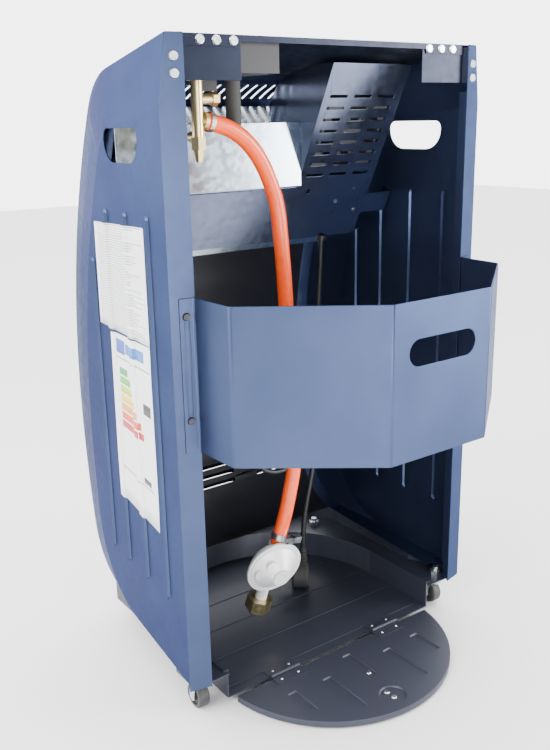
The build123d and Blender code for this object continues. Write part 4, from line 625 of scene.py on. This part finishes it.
def print_patch(name, near, far, foot, top, colour):
    """A printed patch on the ladder sheet between shares of its width and of its height."""
    shares = ((near, top), (far, top), (far, foot), (near, foot))
    corners = [spot_between(LADDER_CORNERS, u, v) for u, v in shares]
    ink = moulded(name + "_ink", tuple(0.85 * c for c in colour), colour, 0.35, 90.0, 0.02)
    return stuck_sheet(name, corners, ink, PAPER_LIFT + INK_LIFT, across=30, upward=3)


patches = [("ladder_head", 0.70, 0.92, 0.89, 0.97, BLUE_INK),
           ("ladder_heading", 0.22, 0.68, 0.90, 0.96, LIGHT_BLUE_INK),
           ("ladder_arrow", 0.10, 0.28, 0.62, 0.68, BLACK_INK),
           ("ladder_rule", 0.08, 0.92, 0.860, 0.866, GREY_INK),
           ("ladder_foot_rule", 0.08, 0.92, 0.20, 0.206, GREY_INK),
           ("ladder_foot_field", 0.16, 0.34, 0.22, 0.25, FIELD_INK)]
for i, colour in enumerate(BAR_COLOURS):
    top = BAR_TOP - BAR_PITCH * i
    near = BAR_FRONT - SHORTEST_BAR - BAR_STEP * i
    print_patch(f"ladder_bar_{i}", near, BAR_FRONT, top - BAR_HEIGHT, top, colour)
for patch in patches:
    print_patch(*patch)
print("printed patches", len(BAR_COLOURS) + len(patches))

# %% [markdown]
# ## Louvre hoods
# Each slot low in the front panel has a pressed hood on the outside, open at its foot. It
# keeps the light out, so from the back the slots read as dark strips and not as bright gaps.
# A hood is a surface of two parameters: one along the slot, one down the hood's section.

# %% Louvre hoods
FRONT_DEPTH = 301.0
BULGE_HEIGHT = 260.0
FRONT_RADIUS = 902.9          # of the front's great arc
LOUVRE_HEIGHTS = (92.0, 105.5, 119.0)
LOUVRE_MARGIN = 39.5
LOUVRE_GAP = 38.0
LOUVRE_PITCH = (SIDE_REACH - LOUVRE_MARGIN) / 1.5
HOOD_OVERLAP = 3              # how far a hood reaches past each end of its slot
LOUVRE_HALF = (LOUVRE_PITCH - LOUVRE_GAP) / 2 + HOOD_OVERLAP
HOOD_ABOVE = 5.5              # top edge over the slot's middle
HOOD_DROP = 10.5
HOOD_CLEARANCE = 0.7
HOOD_REACH = 5.5
HOOD_SHEET = 0.0011
HOOD_ACROSS = 33
HOOD_DOWN = 9


def front_depth(height):
    """Depth of the front's great arc at a height."""
    return FRONT_DEPTH - FRONT_RADIUS + np.sqrt(FRONT_RADIUS**2 - (height - BULGE_HEIGHT)**2)


def hood_shell(column, height):
    """A hood: it leaves the panel above the slot, swells out and comes down past it.

    Across x the swell follows (1 - |u|^6)^(1/2), so both ends close on the panel; down the
    section it follows the square root of the way down.
    """
    u, t = np.meshgrid(np.linspace(-1, 1, HOOD_ACROSS), np.linspace(0, 1, HOOD_DOWN), indexing="ij")
    level = height + HOOD_ABOVE - HOOD_DROP * t
    swell = np.sqrt(np.clip(1 - np.abs(u)**6, 0, 1)) * np.sqrt(t)
    depth = front_depth(level) + HOOD_CLEARANCE + HOOD_REACH * swell
    points = in_frame(column * LOUVRE_PITCH + LOUVRE_HALF * u, depth, level)
    return points, grid_quads(HOOD_ACROSS, HOOD_DOWN)


hood_shells = [hood_shell(column, height) for column in (-1, 0, 1) for height in LOUVRE_HEIGHTS]
hoods = new_piece("louvre_hoods", hood_shells, black_coat, "cabinet")
hood_wall = hoods.modifiers.new("sheet", "SOLIDIFY")
hood_wall.thickness = HOOD_SHEET
hood_wall.offset = 1
print("hoods", len(hood_shells))

# %% [markdown]
# ## Floor and light
# The photograph has white surroundings and large soft lights. One bright even dome would make
# every facet of the band the same, so the world here is bright behind the heater and falls off
# to dim behind the lens, and three large panels put soft gradients on the coat.

# %% Floor
FLOOR_REACH = 6
floor_corners = [(x * FLOOR_REACH, y * FLOOR_REACH, 0) for x, y in ((-1, -1), (1, -1), (1, 1), (-1, 1))]
floor_mesh = bpy.data.meshes.new("floor")
floor_mesh.from_pydata(floor_corners, [], [(0, 1, 2, 3)])
floor_mesh.materials.append(finish_named("pale_floor", (0.9, 0.9, 0.9), 0.7)[0])
floor = bpy.data.objects.new("floor", floor_mesh)
bpy.context.scene.collection.objects.link(floor)
print("floor", 2 * FLOOR_REACH, "m square")

# %% Lights
def light_panel(name, spot, target, size, watts):
    """A large square light at a place, turned to face a target."""
    light = bpy.data.lights.new(name, "AREA")
    light.size = size
    light.energy = watts
    lamp = bpy.data.objects.new(name, light)
    bpy.context.scene.collection.objects.link(lamp)
    way = Vector(target) - Vector(spot)
    lamp.matrix_world = Matrix.Translation(spot) @ way.to_track_quat("-Z", "Y").to_matrix().to_4x4()


light_panel("key", (1.9, 0.6, 1.9), (0.1, 0.0, 0.35), 1.4, 60)
light_panel("window", (-1.9, 1.75, 0.75), (0.0, 0.1, 0.40), 1.0, 85)
light_panel("low_back", (0.5, 1.7, 0.45), (0.0, 0.0, 0.25), 0.8, 22)
print("light panels", len(bpy.data.lights))

# %% Studio dome
SKY_BEHIND = 5.0              # strength of the dome behind the heater
SKY_BEFORE = 0.40             # and behind the lens
SKY_TURN = (-0.35, 0.75)      # Y of the direction over which it falls from one to the other
world = bpy.data.worlds.new("studio")
bpy.context.scene.world = world
world.use_nodes = True
sky_nodes = world.node_tree.nodes
sky_links = world.node_tree.links
sky = sky_nodes["Background"]
sky.inputs["Color"].default_value = (1.0, 1.0, 1.0, 1.0)
look = sky_nodes.new("ShaderNodeTexCoord")
ways = sky_nodes.new("ShaderNodeSeparateXYZ")
falling = sky_nodes.new("ShaderNodeMapRange")
falling.interpolation_type = "SMOOTHSTEP"
falling.inputs["From Min"].default_value = SKY_TURN[0]
falling.inputs["From Max"].default_value = SKY_TURN[1]
falling.inputs["To Min"].default_value = SKY_BEHIND
falling.inputs["To Max"].default_value = SKY_BEFORE
sky_links.new(look.outputs["Generated"], ways.inputs["Vector"])
sky_links.new(ways.outputs["Y"], falling.inputs["Value"])
sky_links.new(falling.outputs["Result"], sky.inputs["Strength"])
print("dome from", SKY_BEFORE, "to", SKY_BEHIND)
